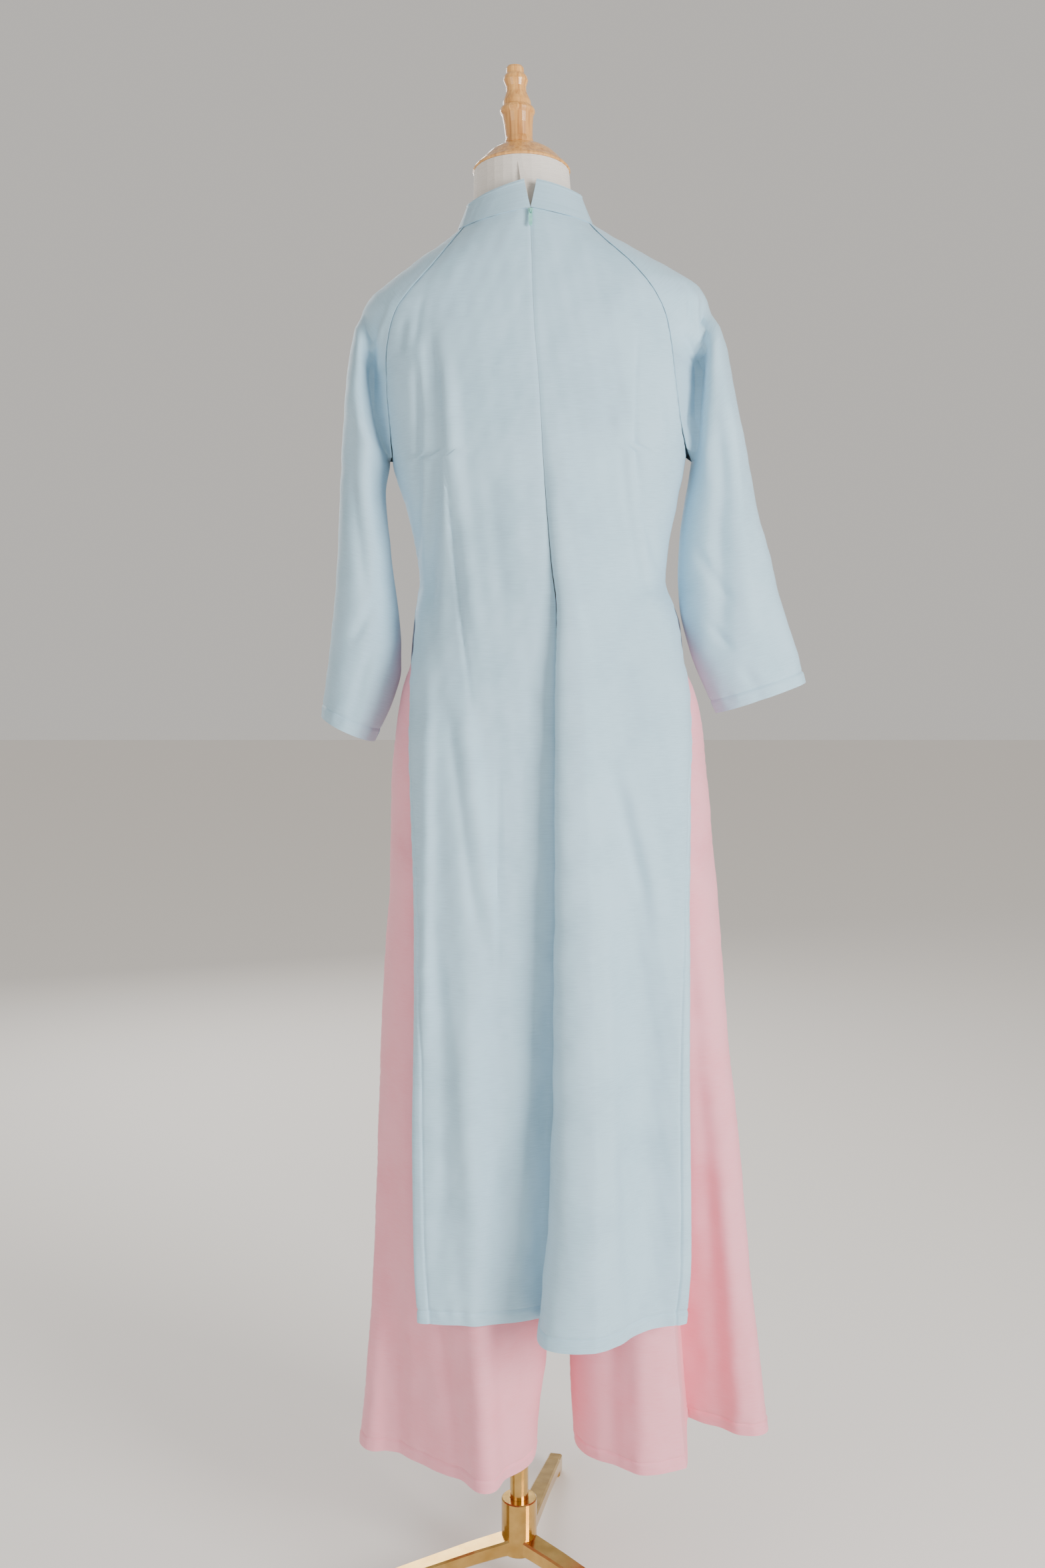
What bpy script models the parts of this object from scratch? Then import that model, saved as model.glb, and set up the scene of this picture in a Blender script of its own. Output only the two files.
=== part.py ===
"""An ao dai, zipped at the back, on a limbless dress form with a three-legged brass stand.

Metres, +Z up. The garment's back faces +Y and its front -Y, and the wearer's left is +X.
Every cloth piece is a wall whose outer face comes from a function of two numbers, across
and down the piece, so neighbours share their seam lines. The pole stands on the Z axis
until the last step, which puts the middle of the whole thing's box there instead.
"""

import math

import bmesh
import bpy
import numpy as np

# Cloth
WALL = 0.0012
SEAM_GAP = 0.0004
SLEEVE_GAP = 0.0005
ARMPIT_CLEAR = 0.0009
REST_GAP = 0.0008
NORMAL_STEP = 1e-3

# Heights of the garment's landmarks
NECKLINE = 1.583
NECK_RISE_BACK = 0.0122
NECK_DROP_FRONT = 0.026
ARMPIT = 1.335
SLIT_TOP = 1.195
TUNIC_HEM = 0.378
WAISTBAND_TOP = 1.185
WAISTBAND_HEIGHT = 0.034
FORM_BOTTOM = 0.930
CROTCH_START = 0.924
CROTCH = 0.855
TROUSER_HEM = 0.185
COLLAR_HEIGHT = 0.0312
NECK_TOP = 1.6465
NECK_TILT = 0.155
SHOULDER_TILT = 0.030
UNDER_TUNIC = 0.0020

# Stand
POLE_RADIUS = 0.0111
SOCKET_GAP = 0.0003
POLE_SOCKET = 0.050
HUB_RADIUS = 0.0213
HUB_TOP = 0.1073
HUB_BOTTOM = 0.040
LEG_TURNS = (11.0, 131.0, 251.0)
LEG_REACH = 0.262
LEG_ROOT_WIDTH = 0.026
LEG_TIP_WIDTH = 0.019
LEG_ROOT_TOP = 0.0600
LEG_ROOT_DEPTH = 0.0190
LEG_TIP_TOP = 0.0240
LEG_TIP_DEPTH = 0.0150
FOOT_LENGTH = 0.026
FOOT_WIDTH = 0.018

# Zip
ZIP_MIDDLE = 1.5775
SLIDER_OFF = 0.0005
SLIDER_WIDTH = 0.0056
SLIDER_LENGTH = 0.0075
SLIDER_THICKNESS = 0.0020
BAR_HEIGHT = 0.00100
BRIDGE_WIDTH = 0.0011
BRIDGE_SPAN = 0.0034
BRIDGE_THICKNESS = 0.0007
PULL_LENGTH = 0.0190
PULL_WIDTH = 0.0042
PULL_THICKNESS = 0.0009
PULL_HOLE = 0.0023
PULL_HOLE_END = 0.0046
PULL_LEAN = 4.5


def table(columns, *rows):
    """Named columns of a short table, sorted by height, which is its first column."""
    values = np.array(sorted(rows), float)
    return dict(zip(columns.split(), values.T))


def read(rows, column, height):
    """A column at any height, on a smooth curve through the rows that doesn't overshoot."""
    keys, values = rows["height"], rows[column]
    step = np.diff(keys)
    rise = np.diff(values) / step
    same_way = rise[:-1] * rise[1:] > 0
    total = np.where(same_way, rise[:-1] + rise[1:], 1.0)
    middle = np.where(same_way, 2 * rise[:-1] * rise[1:] / total, 0.0)
    slope = np.concatenate([rise[:1], middle, rise[-1:]])
    height = np.clip(height, keys[0], keys[-1])
    row = np.clip(np.searchsorted(keys, height, side="right") - 1, 0, len(step) - 1)
    t = (height - keys[row]) / step[row]
    low = values[row] * (1 + 2 * t) + slope[row] * step[row] * t
    high = values[row + 1] * (3 - 2 * t) + slope[row + 1] * step[row] * (t - 1)
    return low * (1 - t) ** 2 + high * t**2


def smooth(value):
    """0 below 0, 1 above 1, with soft ends."""
    t = np.clip(value, 0.0, 1.0)
    return t * t * (3 - 2 * t)


# Dress form: its sections, as centre, half width, and reach back and forward
FORM = table(
    "height centre half back front power",
    (NECK_TOP, -0.0030, 0.0525, 0.0525, -0.0525, 2.0),
    (1.6250, -0.0038, 0.0537, 0.0545, -0.0535, 2.0),
    (1.6080, -0.0044, 0.0547, 0.0590, -0.0545, 2.0),
    (1.6000, -0.0055, 0.0580, 0.0625, -0.0560, 2.0),
    (1.5920, -0.0070, 0.0655, 0.0665, -0.0580, 2.0),
    (1.5850, -0.0080, 0.0740, 0.0700, -0.0600, 2.0),
    (1.5700, -0.0100, 0.0960, 0.0750, -0.0660, 2.1),
    (1.5500, -0.0130, 0.1280, 0.0820, -0.0730, 2.2),
    (1.5300, -0.0160, 0.1590, 0.0880, -0.0800, 2.3),
    (1.5150, -0.0175, 0.1790, 0.0925, -0.0850, 2.35),
    (1.5000, -0.0180, 0.1860, 0.0965, -0.0890, 2.4),
    (1.4700, -0.0180, 0.1790, 0.1030, -0.0960, 2.4),
    (1.4400, -0.0190, 0.1730, 0.1075, -0.1030, 2.4),
    (1.4000, -0.0200, 0.1680, 0.1100, -0.1140, 2.4),
    (1.3350, -0.0215, 0.1580, 0.1090, -0.1280, 2.4),
    (1.2850, -0.0220, 0.1430, 0.1030, -0.1250, 2.3),
    (1.2400, -0.0230, 0.1320, 0.0950, -0.1100, 2.2),
    (1.1950, -0.0235, 0.1250, 0.0890, -0.0980, 2.2),
    (1.1500, -0.0250, 0.1310, 0.0910, -0.0980, 2.2),
    (1.0800, -0.0280, 0.1540, 0.1040, -0.1060, 2.2),
    (1.0000, -0.0310, 0.1700, 0.1140, -0.1080, 2.2),
    (0.9300, -0.0330, 0.1720, 0.1120, -0.1040, 2.2),
)

# How far the tunic's outer face stands off the form, down to its side slits
EASE = table(
    "height left right back front",
    (1.6500, 0.0028, 0.0028, 0.0028, 0.0028),
    (1.5700, 0.0028, 0.0032, 0.0028, 0.0030),
    (1.5400, 0.0040, 0.0045, 0.0032, 0.0045),
    (1.5000, 0.0045, 0.0045, 0.0032, 0.0045),
    (1.4300, 0.0042, 0.0042, 0.0036, 0.0042),
    (1.3800, 0.0044, 0.0056, 0.0046, 0.0048),
    (1.3350, 0.0046, 0.0072, 0.0060, 0.0060),
    (1.2850, 0.0050, 0.0116, 0.0085, 0.0100),
    (1.2400, 0.0077, 0.0133, 0.0135, 0.0220),
    (1.1950, 0.0105, 0.0172, 0.0180, 0.0300),
)

# The flaps below the slits: their two edges, how far back those hang, and the middle
BACK_FLAP = table(
    "height left right edge depth power",
    (1.1950, 0.1120, -0.1657, 0.0000, 0.1070, 2.2),
    (1.1700, 0.1155, -0.1755, 0.0040, 0.1085, 2.4),
    (1.1500, 0.1160, -0.1790, 0.0120, 0.1100, 2.5),
    (1.1200, 0.1175, -0.1820, 0.0280, 0.1120, 2.7),
    (1.0900, 0.1200, -0.1870, 0.0470, 0.1165, 3.0),
    (1.0350, 0.1205, -0.1890, 0.0670, 0.1215, 3.2),
    (0.9750, 0.1190, -0.1880, 0.0810, 0.1240, 3.2),
    (0.8500, 0.1150, -0.1870, 0.0930, 0.1230, 3.0),
    (0.7600, 0.1150, -0.1880, 0.0980, 0.1210, 3.0),
    (0.6700, 0.1165, -0.1885, 0.1010, 0.1200, 3.0),
    (0.5800, 0.1180, -0.1900, 0.1040, 0.1200, 3.0),
    (0.4500, 0.1170, -0.1920, 0.1070, 0.1200, 3.0),
    (0.3780, 0.1130, -0.1870, 0.1100, 0.1200, 3.0),
)
FRONT_FLAP = table(
    "height left right edge depth power",
    (1.1950, 0.1120, -0.1657, 0.0000, -0.1280, 2.2),
    (1.1500, 0.1200, -0.1840, -0.0150, -0.1300, 2.5),
    (1.0900, 0.1260, -0.1910, -0.0500, -0.1320, 3.0),
    (1.0350, 0.1250, -0.1920, -0.0690, -0.1340, 3.0),
    (0.9300, 0.1210, -0.1900, -0.0890, -0.1350, 3.0),
    (0.7600, 0.1180, -0.1900, -0.1020, -0.1350, 3.0),
    (0.5800, 0.1160, -0.1880, -0.1110, -0.1350, 3.0),
    (0.3780, 0.1150, -0.1880, -0.1190, -0.1360, 3.0),
)

# Where the raglan seams run on the body
RAGLAN = {
    1: table(
        "height x",
        (1.5830, 0.0605),
        (1.5620, 0.0760),
        (1.5410, 0.0922),
        (1.5080, 0.1210),
        (1.4920, 0.1322),
        (1.4670, 0.1405),
        (1.4420, 0.1440),
        (1.4130, 0.1440),
        (1.3800, 0.1420),
        (1.3350, 0.1388),
    ),
    -1: table(
        "height x",
        (1.5830, -0.0770),
        (1.5680, -0.0880),
        (1.5340, -0.1215),
        (1.5010, -0.1460),
        (1.4780, -0.1570),
        (1.4520, -0.1630),
        (1.4110, -0.1690),
        (1.3620, -0.1775),
        (1.3350, -0.1857),
    ),
}

# Centre back: the seam's line, and the deep fold that opens below the waist, where the
# right half stands out by rise, laps over the left by lean, and the seam sinks by dip
CENTRE_BACK = table(
    "height x rise lean dip place",
    (1.5900, -0.0124, 0.000, 0.0000, 0.000, 0.08),
    (1.4790, -0.0159, 0.000, 0.0000, 0.000, 0.08),
    (1.4050, -0.0216, 0.000, 0.0000, 0.000, 0.08),
    (1.3250, -0.0259, 0.004, 0.0010, 0.000, 0.08),
    (1.2180, -0.0345, 0.011, 0.0040, 0.001, 0.09),
    (1.1700, -0.0400, 0.016, 0.0070, 0.001, 0.09),
    (1.0350, -0.0405, 0.025, 0.0130, 0.001, 0.10),
    (0.8500, -0.0415, 0.036, 0.0165, 0.006, 0.12),
    (0.6700, -0.0400, 0.046, 0.0180, 0.014, 0.14),
    (0.5000, -0.0350, 0.060, 0.0210, 0.018, 0.16),
    (0.3780, -0.0290, 0.072, 0.0300, 0.020, 0.18),
)

# Soft folds of the back: from top to bottom, where they run, how wide and how deep
BACK_FOLDS = (
    dict(top=1.50, bottom=1.20, x_top=0.098, x_bottom=0.096, width=0.011, depth=-0.0045),
    dict(top=1.47, bottom=1.16, x_top=0.080, x_bottom=0.086, width=0.012, depth=0.0060),
    dict(top=1.46, bottom=1.17, x_top=-0.110, x_bottom=-0.150, width=0.014, depth=0.0050),
    dict(top=1.12, bottom=0.50, x_top=0.062, x_bottom=0.050, width=0.022, depth=0.0080),
    dict(top=1.13, bottom=0.70, x_top=0.098, x_bottom=0.104, width=0.009, depth=0.0060),
    dict(top=0.90, bottom=0.40, x_top=-0.120, x_bottom=-0.140, width=0.022, depth=-0.0080),
    dict(top=0.60, bottom=0.36, x_top=0.020, x_bottom=0.010, width=0.020, depth=-0.0060),
)
FRONT_FOLDS = (
    dict(top=1.30, bottom=0.60, x_top=0.060, x_bottom=0.075, width=0.020, depth=-0.0080),
    dict(top=1.28, bottom=0.55, x_top=-0.105, x_bottom=-0.130, width=0.022, depth=-0.0090),
    dict(top=0.95, bottom=0.36, x_top=-0.030, x_bottom=-0.020, width=0.030, depth=-0.0160),
    dict(top=0.80, bottom=0.36, x_top=0.070, x_bottom=0.060, width=0.022, depth=-0.0100),
    dict(top=0.80, bottom=0.36, x_top=-0.110, x_bottom=-0.120, width=0.024, depth=-0.0120),
)

# Sleeves, keyed by the height of their inner edge: the outer edge stands rise higher
SLEEVES = {
    1: table(
        "height rise outer inner depth middle",
        (1.5830, 0.0045, 0.0700, 0.0500, 0.0500, 0.000),
        (1.5620, 0.0150, 0.1000, 0.0800, 0.0500, 0.000),
        (1.5410, 0.0240, 0.1350, 0.1200, 0.0500, 0.000),
        (1.5080, 0.0400, 0.1600, 0.1500, 0.0500, 0.000),
        (1.4920, 0.0460, 0.1680, 0.1620, 0.0500, 0.000),
        (1.4670, 0.0510, 0.1730, 0.1660, 0.0500, 0.000),
        (1.4420, 0.0530, 0.1770, 0.1650, 0.0500, 0.000),
        (1.4130, 0.0500, 0.1850, 0.1620, 0.0540, 0.000),
        (1.3800, 0.0440, 0.1915, 0.1600, 0.0575, 0.000),
        (1.3550, 0.0350, 0.1945, 0.1540, 0.0570, 0.000),
        (1.3350, 0.0280, 0.1970, 0.1445, 0.0550, 0.000),
        (1.3000, 0.0240, 0.1994, 0.1495, 0.0540, 0.000),
        (1.2410, 0.0240, 0.2024, 0.1456, 0.0520, 0.000),
        (1.1730, 0.0220, 0.2060, 0.1370, 0.0500, 0.000),
        (1.1340, 0.0210, 0.2106, 0.1340, 0.0500, 0.000),
        (1.1030, 0.0230, 0.2140, 0.1340, 0.0500, 0.000),
        (1.0700, 0.0280, 0.2180, 0.1425, 0.0500, 0.000),
        (1.0212, 0.0290, 0.2249, 0.1651, 0.0520, 0.000),
    ),
    -1: table(
        "height rise outer inner depth middle",
        (1.5830, 0.0060, -0.0850, -0.0600, 0.0500, 0.000),
        (1.5620, 0.0150, -0.1250, -0.1100, 0.0500, 0.000),
        (1.5340, 0.0260, -0.1700, -0.1600, 0.0500, 0.000),
        (1.5080, 0.0400, -0.1960, -0.1880, 0.0500, 0.000),
        (1.4920, 0.0460, -0.2040, -0.1970, 0.0500, 0.000),
        (1.4670, 0.0510, -0.2090, -0.2020, 0.0500, 0.002),
        (1.4420, 0.0530, -0.2150, -0.2030, 0.0500, 0.003),
        (1.4130, 0.0500, -0.2265, -0.2010, 0.0540, 0.004),
        (1.3800, 0.0440, -0.2370, -0.1985, 0.0540, 0.004),
        (1.3550, 0.0350, -0.2440, -0.1975, 0.0520, 0.003),
        (1.3350, 0.0280, -0.2510, -0.1935, 0.0500, 0.000),
        (1.3090, 0.0240, -0.2574, -0.1895, 0.0480, 0.000),
        (1.2490, 0.0220, -0.2710, -0.1810, 0.0440, 0.000),
        (1.2110, 0.0220, -0.2815, -0.1795, 0.0420, 0.000),
        (1.1760, 0.0250, -0.2900, -0.1815, 0.0400, 0.000),
        (1.1220, 0.0310, -0.3050, -0.1945, 0.0360, 0.000),
        (1.0532, 0.0350, -0.3264, -0.2245, 0.0320, 0.000),
    ),
}
SLEEVE_OFF_SHOULDER = 1.460
SLEEVE_HANGS = 1.425
SLEEVE_MIX_FROM = 0.84

# Trousers: hips, legs and the line where the two legs meet or part
TROUSERS = table(
    "height left right back front power",
    (1.1850, 0.1055, -0.1530, 0.0928, -0.1018, 2.2),
    (1.1500, 0.1105, -0.1612, 0.0948, -0.1018, 2.2),
    (1.1200, 0.1190, -0.1765, 0.1010, -0.1055, 2.2),
    (1.0840, 0.1310, -0.1965, 0.1080, -0.1105, 2.2),
    (1.0360, 0.1398, -0.2090, 0.1150, -0.1130, 2.2),
    (0.9900, 0.1445, -0.2140, 0.1190, -0.1130, 2.2),
    (0.9300, 0.1468, -0.2200, 0.1180, -0.1100, 2.2),
    (0.8550, 0.1485, -0.2270, 0.1040, -0.1030, 2.2),
    (0.7960, 0.1535, -0.2325, 0.0990, -0.1010, 2.2),
    (0.6900, 0.1600, -0.2426, 0.0930, -0.1000, 2.2),
    (0.5520, 0.1655, -0.2595, 0.0880, -0.0980, 2.2),
    (0.3950, 0.1725, -0.2754, 0.0860, -0.0960, 2.2),
    (0.2740, 0.1815, -0.2909, 0.0850, -0.0950, 2.2),
    (0.1850, 0.1903, -0.3015, 0.0850, -0.0950, 2.2),
)
INSEAM = table(
    "height left right",
    (1.1850, -0.0238, -0.0238),
    (1.0000, -0.0340, -0.0340),
    (0.9600, -0.0350, -0.0350),
    (0.9240, -0.0350, -0.0350),
    (0.8850, -0.0346, -0.0357),
    (0.8550, -0.0341, -0.0369),
    (0.7000, -0.0345, -0.0450),
    (0.4000, -0.0340, -0.0570),
    (0.3000, -0.0325, -0.0603),
    (0.2475, -0.0252, -0.0615),
    (0.1850, -0.0200, -0.0664),
)
# How far a leg's back and front panels are pushed, at places across it, growing downward
LEG_FOLDS = {
    ("back", 1): (
        dict(x=0.040, width=0.034, depth=0.040, top=0.70),
        dict(x=0.140, width=0.034, depth=-0.036, top=0.90),
    ),
    ("back", -1): (dict(x=-0.150, width=0.040, depth=0.016, top=0.80),),
    ("front", 1): (dict(x=0.070, width=0.040, depth=-0.020, top=0.60),),
    ("front", -1): (dict(x=-0.130, width=0.040, depth=-0.016, top=0.60),),
}
LEFT_SQUARE = 2.0
# The right leg's spare width swings forward at its side, behind a deep step in the back
WING = dict(top=0.98, side=-0.030, depth=-0.112, crest=0.40, step=0.065)

# Turned wood: heights above the neck's top, and radii
CAP = (
    (0.0000, 0.0525),
    (0.0015, 0.0538),
    (0.0035, 0.0525),
    (0.0075, 0.0482),
    (0.0130, 0.0432),
    (0.0190, 0.0372),
    (0.0240, 0.0300),
    (0.0272, 0.0220),
)
CAP_TOP = 0.0285
CAP_TOP_RADIUS = 0.0165
FINIAL = (
    (0.0003, 0.0145),
    (0.0030, 0.0160),
    (0.0060, 0.0158),
    (0.0100, 0.0148),
    (0.0240, 0.0158),
    (0.0345, 0.0172),
    (0.0375, 0.0190),
    (0.0400, 0.0193),
    (0.0425, 0.0182),
    (0.0450, 0.0156),
    (0.0500, 0.0152),
    (0.0550, 0.0132),
    (0.0600, 0.0112),
    (0.0655, 0.0110),
    (0.0727, 0.0136),
    (0.0768, 0.0126),
    (0.0805, 0.0098),
    (0.0860, 0.0096),
    (0.0884, 0.0080),
)
FINIAL_LEAN = 0.060


def settled(x, y, height):
    """A point of the upper body, let down a little at the wearer's left."""
    tilt = SHOULDER_TILT * smooth((height - SLIT_TOP) / (ARMPIT - SLIT_TOP))
    centre = read(FORM, "centre", height)
    return np.stack([x, y, height - tilt * (x - centre)], axis=-1)


def tunic_section(face, height):
    """The tunic's two sides, its edges' and middle's depth, and its roundness at a height."""
    flap = BACK_FLAP if face == "back" else FRONT_FLAP
    reach = 1 if face == "back" else -1
    centre = read(FORM, "centre", height)
    half = read(FORM, "half", height)
    upper = (
        centre + half + read(EASE, "left", height),
        centre - half - read(EASE, "right", height),
        np.zeros_like(height),
        read(FORM, face, height) + reach * read(EASE, face, height),
        read(FORM, "power", height),
    )
    lower = [read(flap, column, height) for column in ("left", "right", "edge", "depth", "power")]
    return [np.where(height >= SLIT_TOP, above, below) for above, below in zip(upper, lower)]


def on_section(sides, turn):
    """X and Y at an angle round a section: 0 is the left side and 180 degrees the right."""
    left, right, edge, depth, power = sides
    x = (left + right) / 2 + (left - right) / 2 * np.cos(turn)
    arch = (1 - np.minimum(np.abs(np.cos(turn)) ** power, 1.0)) ** (1 / power)
    return x, edge + (depth - edge) * arch


def turn_at(sides, x):
    left, right = sides[0], sides[1]
    return np.arccos(np.clip((2 * x - left - right) / (left - right), -1.0, 1.0))


def edge_turn(face, side, height):
    """The angle of the raglan seam, and below the armpit of the side seam or the slit."""
    at_side = 0.0 if side == 1 else math.pi
    on_raglan = turn_at(tunic_section(face, height), read(RAGLAN[side], "x", height))
    return np.where(height > ARMPIT, on_raglan, at_side)


def fold_push(folds, x, height):
    """How far soft folds push the cloth, from a table of where they run."""
    push = np.zeros_like(x)
    for fold in folds:
        along = (fold["top"] - height) / (fold["top"] - fold["bottom"])
        place = fold["x_top"] + (fold["x_bottom"] - fold["x_top"]) * np.clip(along, 0, 1)
        ends = smooth(along / 0.25) * smooth((1.15 - along) / 0.3)
        push += fold["depth"] * ends * np.exp(-(((x - place) / fold["width"]) ** 2))
    return push


def back_panel(side, across, down):
    """Back half: across is 0 at the side and 1 at centre back; down is the side's height."""
    rise = NECK_RISE_BACK * smooth((down - ARMPIT) / (NECKLINE - ARMPIT))
    height = down + rise * across
    seam = read(CENTRE_BACK, "x", down + rise)
    turn_side = edge_turn("back", side, down)
    turn_seam = turn_at(tunic_section("back", down + rise), seam)
    x, y = on_section(tunic_section("back", height), turn_side + (turn_seam - turn_side) * across)
    y = y + fold_push(BACK_FOLDS, x, height) * smooth(across / 0.15) * smooth((1 - across) / 0.1)
    inward = 1 - across
    y = y - read(CENTRE_BACK, "dip", height) * np.exp(-((inward / 0.12) ** 2))
    if side == -1:
        place = read(CENTRE_BACK, "place", height)
        swell = (inward / place * np.exp(1 - inward / place)) ** 1.5
        y = y + read(CENTRE_BACK, "rise", height) * swell
        lap = np.sin(math.pi * np.clip(inward / (1.2 * place), 0, 1))
        x = x + read(CENTRE_BACK, "lean", height) * lap
    return settled(x, y, height)


def front_panel(across, down):
    """Whole front: across is 0 at the wearer's left side and 1 at the right."""
    drop = NECK_DROP_FRONT * smooth((down - ARMPIT) / (NECKLINE - ARMPIT))
    height = down - drop * (1 - (2 * across - 1) ** 2)
    turn_left = edge_turn("front", 1, down)
    turn_right = edge_turn("front", -1, down)
    x, y = on_section(
        tunic_section("front", height), turn_left + (turn_right - turn_left) * across
    )
    y = y + fold_push(FRONT_FOLDS, x, height) * smooth(across / 0.1) * smooth((1 - across) / 0.1)
    return settled(x, y, height)


def raglan_point(face, side, height):
    x, y = on_section(tunic_section(face, height), edge_turn(face, side, height))
    return settled(x, y, height)


def sleeve(side, around, down):
    """Sleeve: around runs from -1 at the back seam over the shoulder to 1 at the front."""
    rows = SLEEVES[side]
    rise = read(rows, "rise", down)
    outer = read(rows, "outer", down)
    inner = read(rows, "inner", down)
    share = np.abs(around)
    turn = math.pi * share
    y = read(rows, "middle", down) - np.sign(around) * read(rows, "depth", down) * np.sin(turn)
    x = (outer + inner) / 2 + (outer - inner) / 2 * np.cos(turn)
    tube = np.stack([x, y, down + rise * (1 + np.cos(turn)) / 2], axis=-1)

    points = []
    for face in ("back", "front"):
        seam = raglan_point(face, side, down)
        seam[..., 0] += side * ARMPIT_CLEAR * smooth((1.375 - down) / 0.025)
        mix = smooth((share - SLEEVE_MIX_FROM) / (1 - SLEEVE_MIX_FROM))
        mix = np.where(down > ARMPIT, mix, 0.0)[..., None]
        hanging = tube + mix * (seam - tube)
        height = down + rise * (1 - share**1.5)
        section = tunic_section(face, height)
        at_side = 0.0 if side == 1 else math.pi
        seam_turn = edge_turn(face, side, down)
        x, y = on_section(section, at_side + (seam_turn - at_side) * share**0.9)
        lying = settled(x, y, height)
        off = 1 - smooth((down - SLEEVE_HANGS) / (SLEEVE_OFF_SHOULDER - SLEEVE_HANGS))
        points.append(lying + off[..., None] * (hanging - lying))
    return np.where((around < 0)[..., None], points[0], points[1])


def leg_panel(face, side, across, down):
    """A trouser panel: across is 0 at the side seam and 1 at centre or inseam."""
    name = "left" if side == 1 else "right"
    outer = read(TROUSERS, name, down)
    inner = read(INSEAM, name, down)
    parted = smooth((CROTCH_START - down) / (CROTCH_START - CROTCH))
    end = math.pi / 2 * (1 + parted)
    turn = end * across
    square = LEFT_SQUARE * smooth((CROTCH - down) / (CROTCH - TROUSER_HEM)) * (side == 1)
    power = read(TROUSERS, "power", down) + np.where(turn > math.pi / 2, square, 0.0)
    x = outer + (inner - outer) * (1 - np.cos(turn)) / (1 - np.cos(end))
    arch = (1 - np.minimum(np.abs(np.cos(turn)) ** power, 1.0)) ** (1 / power)
    y = read(TROUSERS, face, down) * arch
    if side == -1:
        grown = smooth((WING["top"] - down) / (WING["top"] - TROUSER_HEM))
        y = y + WING["side"] * grown * (1 + np.cos(turn)) / 2
        share = (outer - x) / (outer - inner)
        step = 1 - smooth((share - WING["crest"]) / WING["step"])
        swing = WING["depth"] if face == "back" else 0.0
        y = y + swing * grown * share / WING["crest"] * step
    at_edges = smooth(across / 0.12) * smooth((1 - across) / 0.15)
    for fold in LEG_FOLDS[face, side]:
        grown = smooth((fold["top"] - down) / (fold["top"] - TROUSER_HEM))
        shape = np.exp(-(((x - fold["x"]) / fold["width"]) ** 2))
        y = y + fold["depth"] * grown * shape * at_edges
    return np.stack([x, y, down], axis=-1)


def waistband_panel(around, down):
    """The band round the waist, closed at the wearer's left side."""
    turn = 2 * math.pi * around
    back = np.sin(turn) >= 0
    points = []
    for face in ("back", "front"):
        left = read(TROUSERS, "left", down)
        right = read(TROUSERS, "right", down)
        depth = read(TROUSERS, face, down)
        power = read(TROUSERS, "power", down)
        points.append(on_section((left, right, np.zeros_like(left), depth, power), turn))
    x = np.where(back, points[0][0], points[1][0])
    y = np.where(back, points[0][1], points[1][1])
    return np.stack([x, y, down], axis=-1)


# Where the tunic's pieces have points, across and round them
LEFT_ACROSS = np.array((0.0, 0.06, 0.14, 0.26, 0.40, 0.54, 0.68, 0.84, 1.0))
RIGHT_ACROSS = np.array(
    (0.0, 0.06, 0.16, 0.30, 0.44, 0.56, 0.67, 0.76, 0.84, 0.90, 0.94, 0.975, 1.0)
)
FRONT_ACROSS = np.array(
    (0.0, 0.04, 0.10, 0.18, 0.27, 0.36, 0.45, 0.55, 0.64, 0.73, 0.82, 0.90, 0.96, 1.0)
)
HALF_AROUND = np.array((0.0, 0.22, 0.42, 0.58, 0.72, 0.84, 0.93, 1.0))
AROUND = np.concatenate([-HALF_AROUND[:0:-1], HALF_AROUND])


def neckline():
    """The line that the collar is sewn to, from centre back round the left to centre back."""

    def top(stations):
        return np.full_like(stations, NECKLINE)

    pieces = (
        back_panel(1, LEFT_ACROSS[::-1], top(LEFT_ACROSS)),
        sleeve(1, AROUND, top(AROUND)),
        front_panel(FRONT_ACROSS, top(FRONT_ACROSS)),
        sleeve(-1, AROUND[::-1], top(AROUND)),
        back_panel(-1, RIGHT_ACROSS, top(RIGHT_ACROSS)),
    )
    return np.concatenate([piece[:-1] for piece in pieces[:-1]] + [pieces[-1]])


NECK_LOOP = neckline()
NECK_RUN = np.concatenate([[0], np.cumsum(np.linalg.norm(np.diff(NECK_LOOP, axis=0), axis=1))])
COLLAR_OPENING = 0.0072
COLLAR_LEAN = 0.0045
COLLAR_SIDE_LEAN = 0.0065
COLLAR_RIGHT_LEAN = 0.0050
COLLAR_LIFT = 0.0006


def collar_panel(around, up):
    """Standing collar: up is 0 at its seam and 1 at its top, and its ends part in a V."""
    start = SEAM_GAP / 2 + COLLAR_OPENING * up
    run = start + (NECK_RUN[-1] - 2 * start) * around
    run = np.where((around > 0) & (around < 1) & (up == 0), NECK_RUN[-1] * around, run)
    foot = np.stack([np.interp(run, NECK_RUN, NECK_LOOP[:, axis]) for axis in range(3)], axis=-1)
    centre = np.array([read(FORM, "centre", NECKLINE), 0.0, 0.0])
    out = (foot - centre) * np.array([1.0, 1.0, 0.0])
    out = out / np.linalg.norm(out, axis=-1, keepdims=True)
    side = np.sin(2 * math.pi * around)
    fall = 1 - 0.19 * np.sin(math.pi * around) - 0.08 * side
    lift = COLLAR_LIFT + COLLAR_HEIGHT * up * fall
    lean = COLLAR_LEAN + COLLAR_SIDE_LEAN * side**2 + COLLAR_RIGHT_LEAN * np.clip(-side, 0, 1)
    lean = lean * up
    return foot - out * lean[..., None] + np.stack([0 * up, 0 * up, lift], axis=-1)


def clear_scene():
    for existing in list(bpy.data.objects):
        bpy.data.objects.remove(existing)


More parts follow.
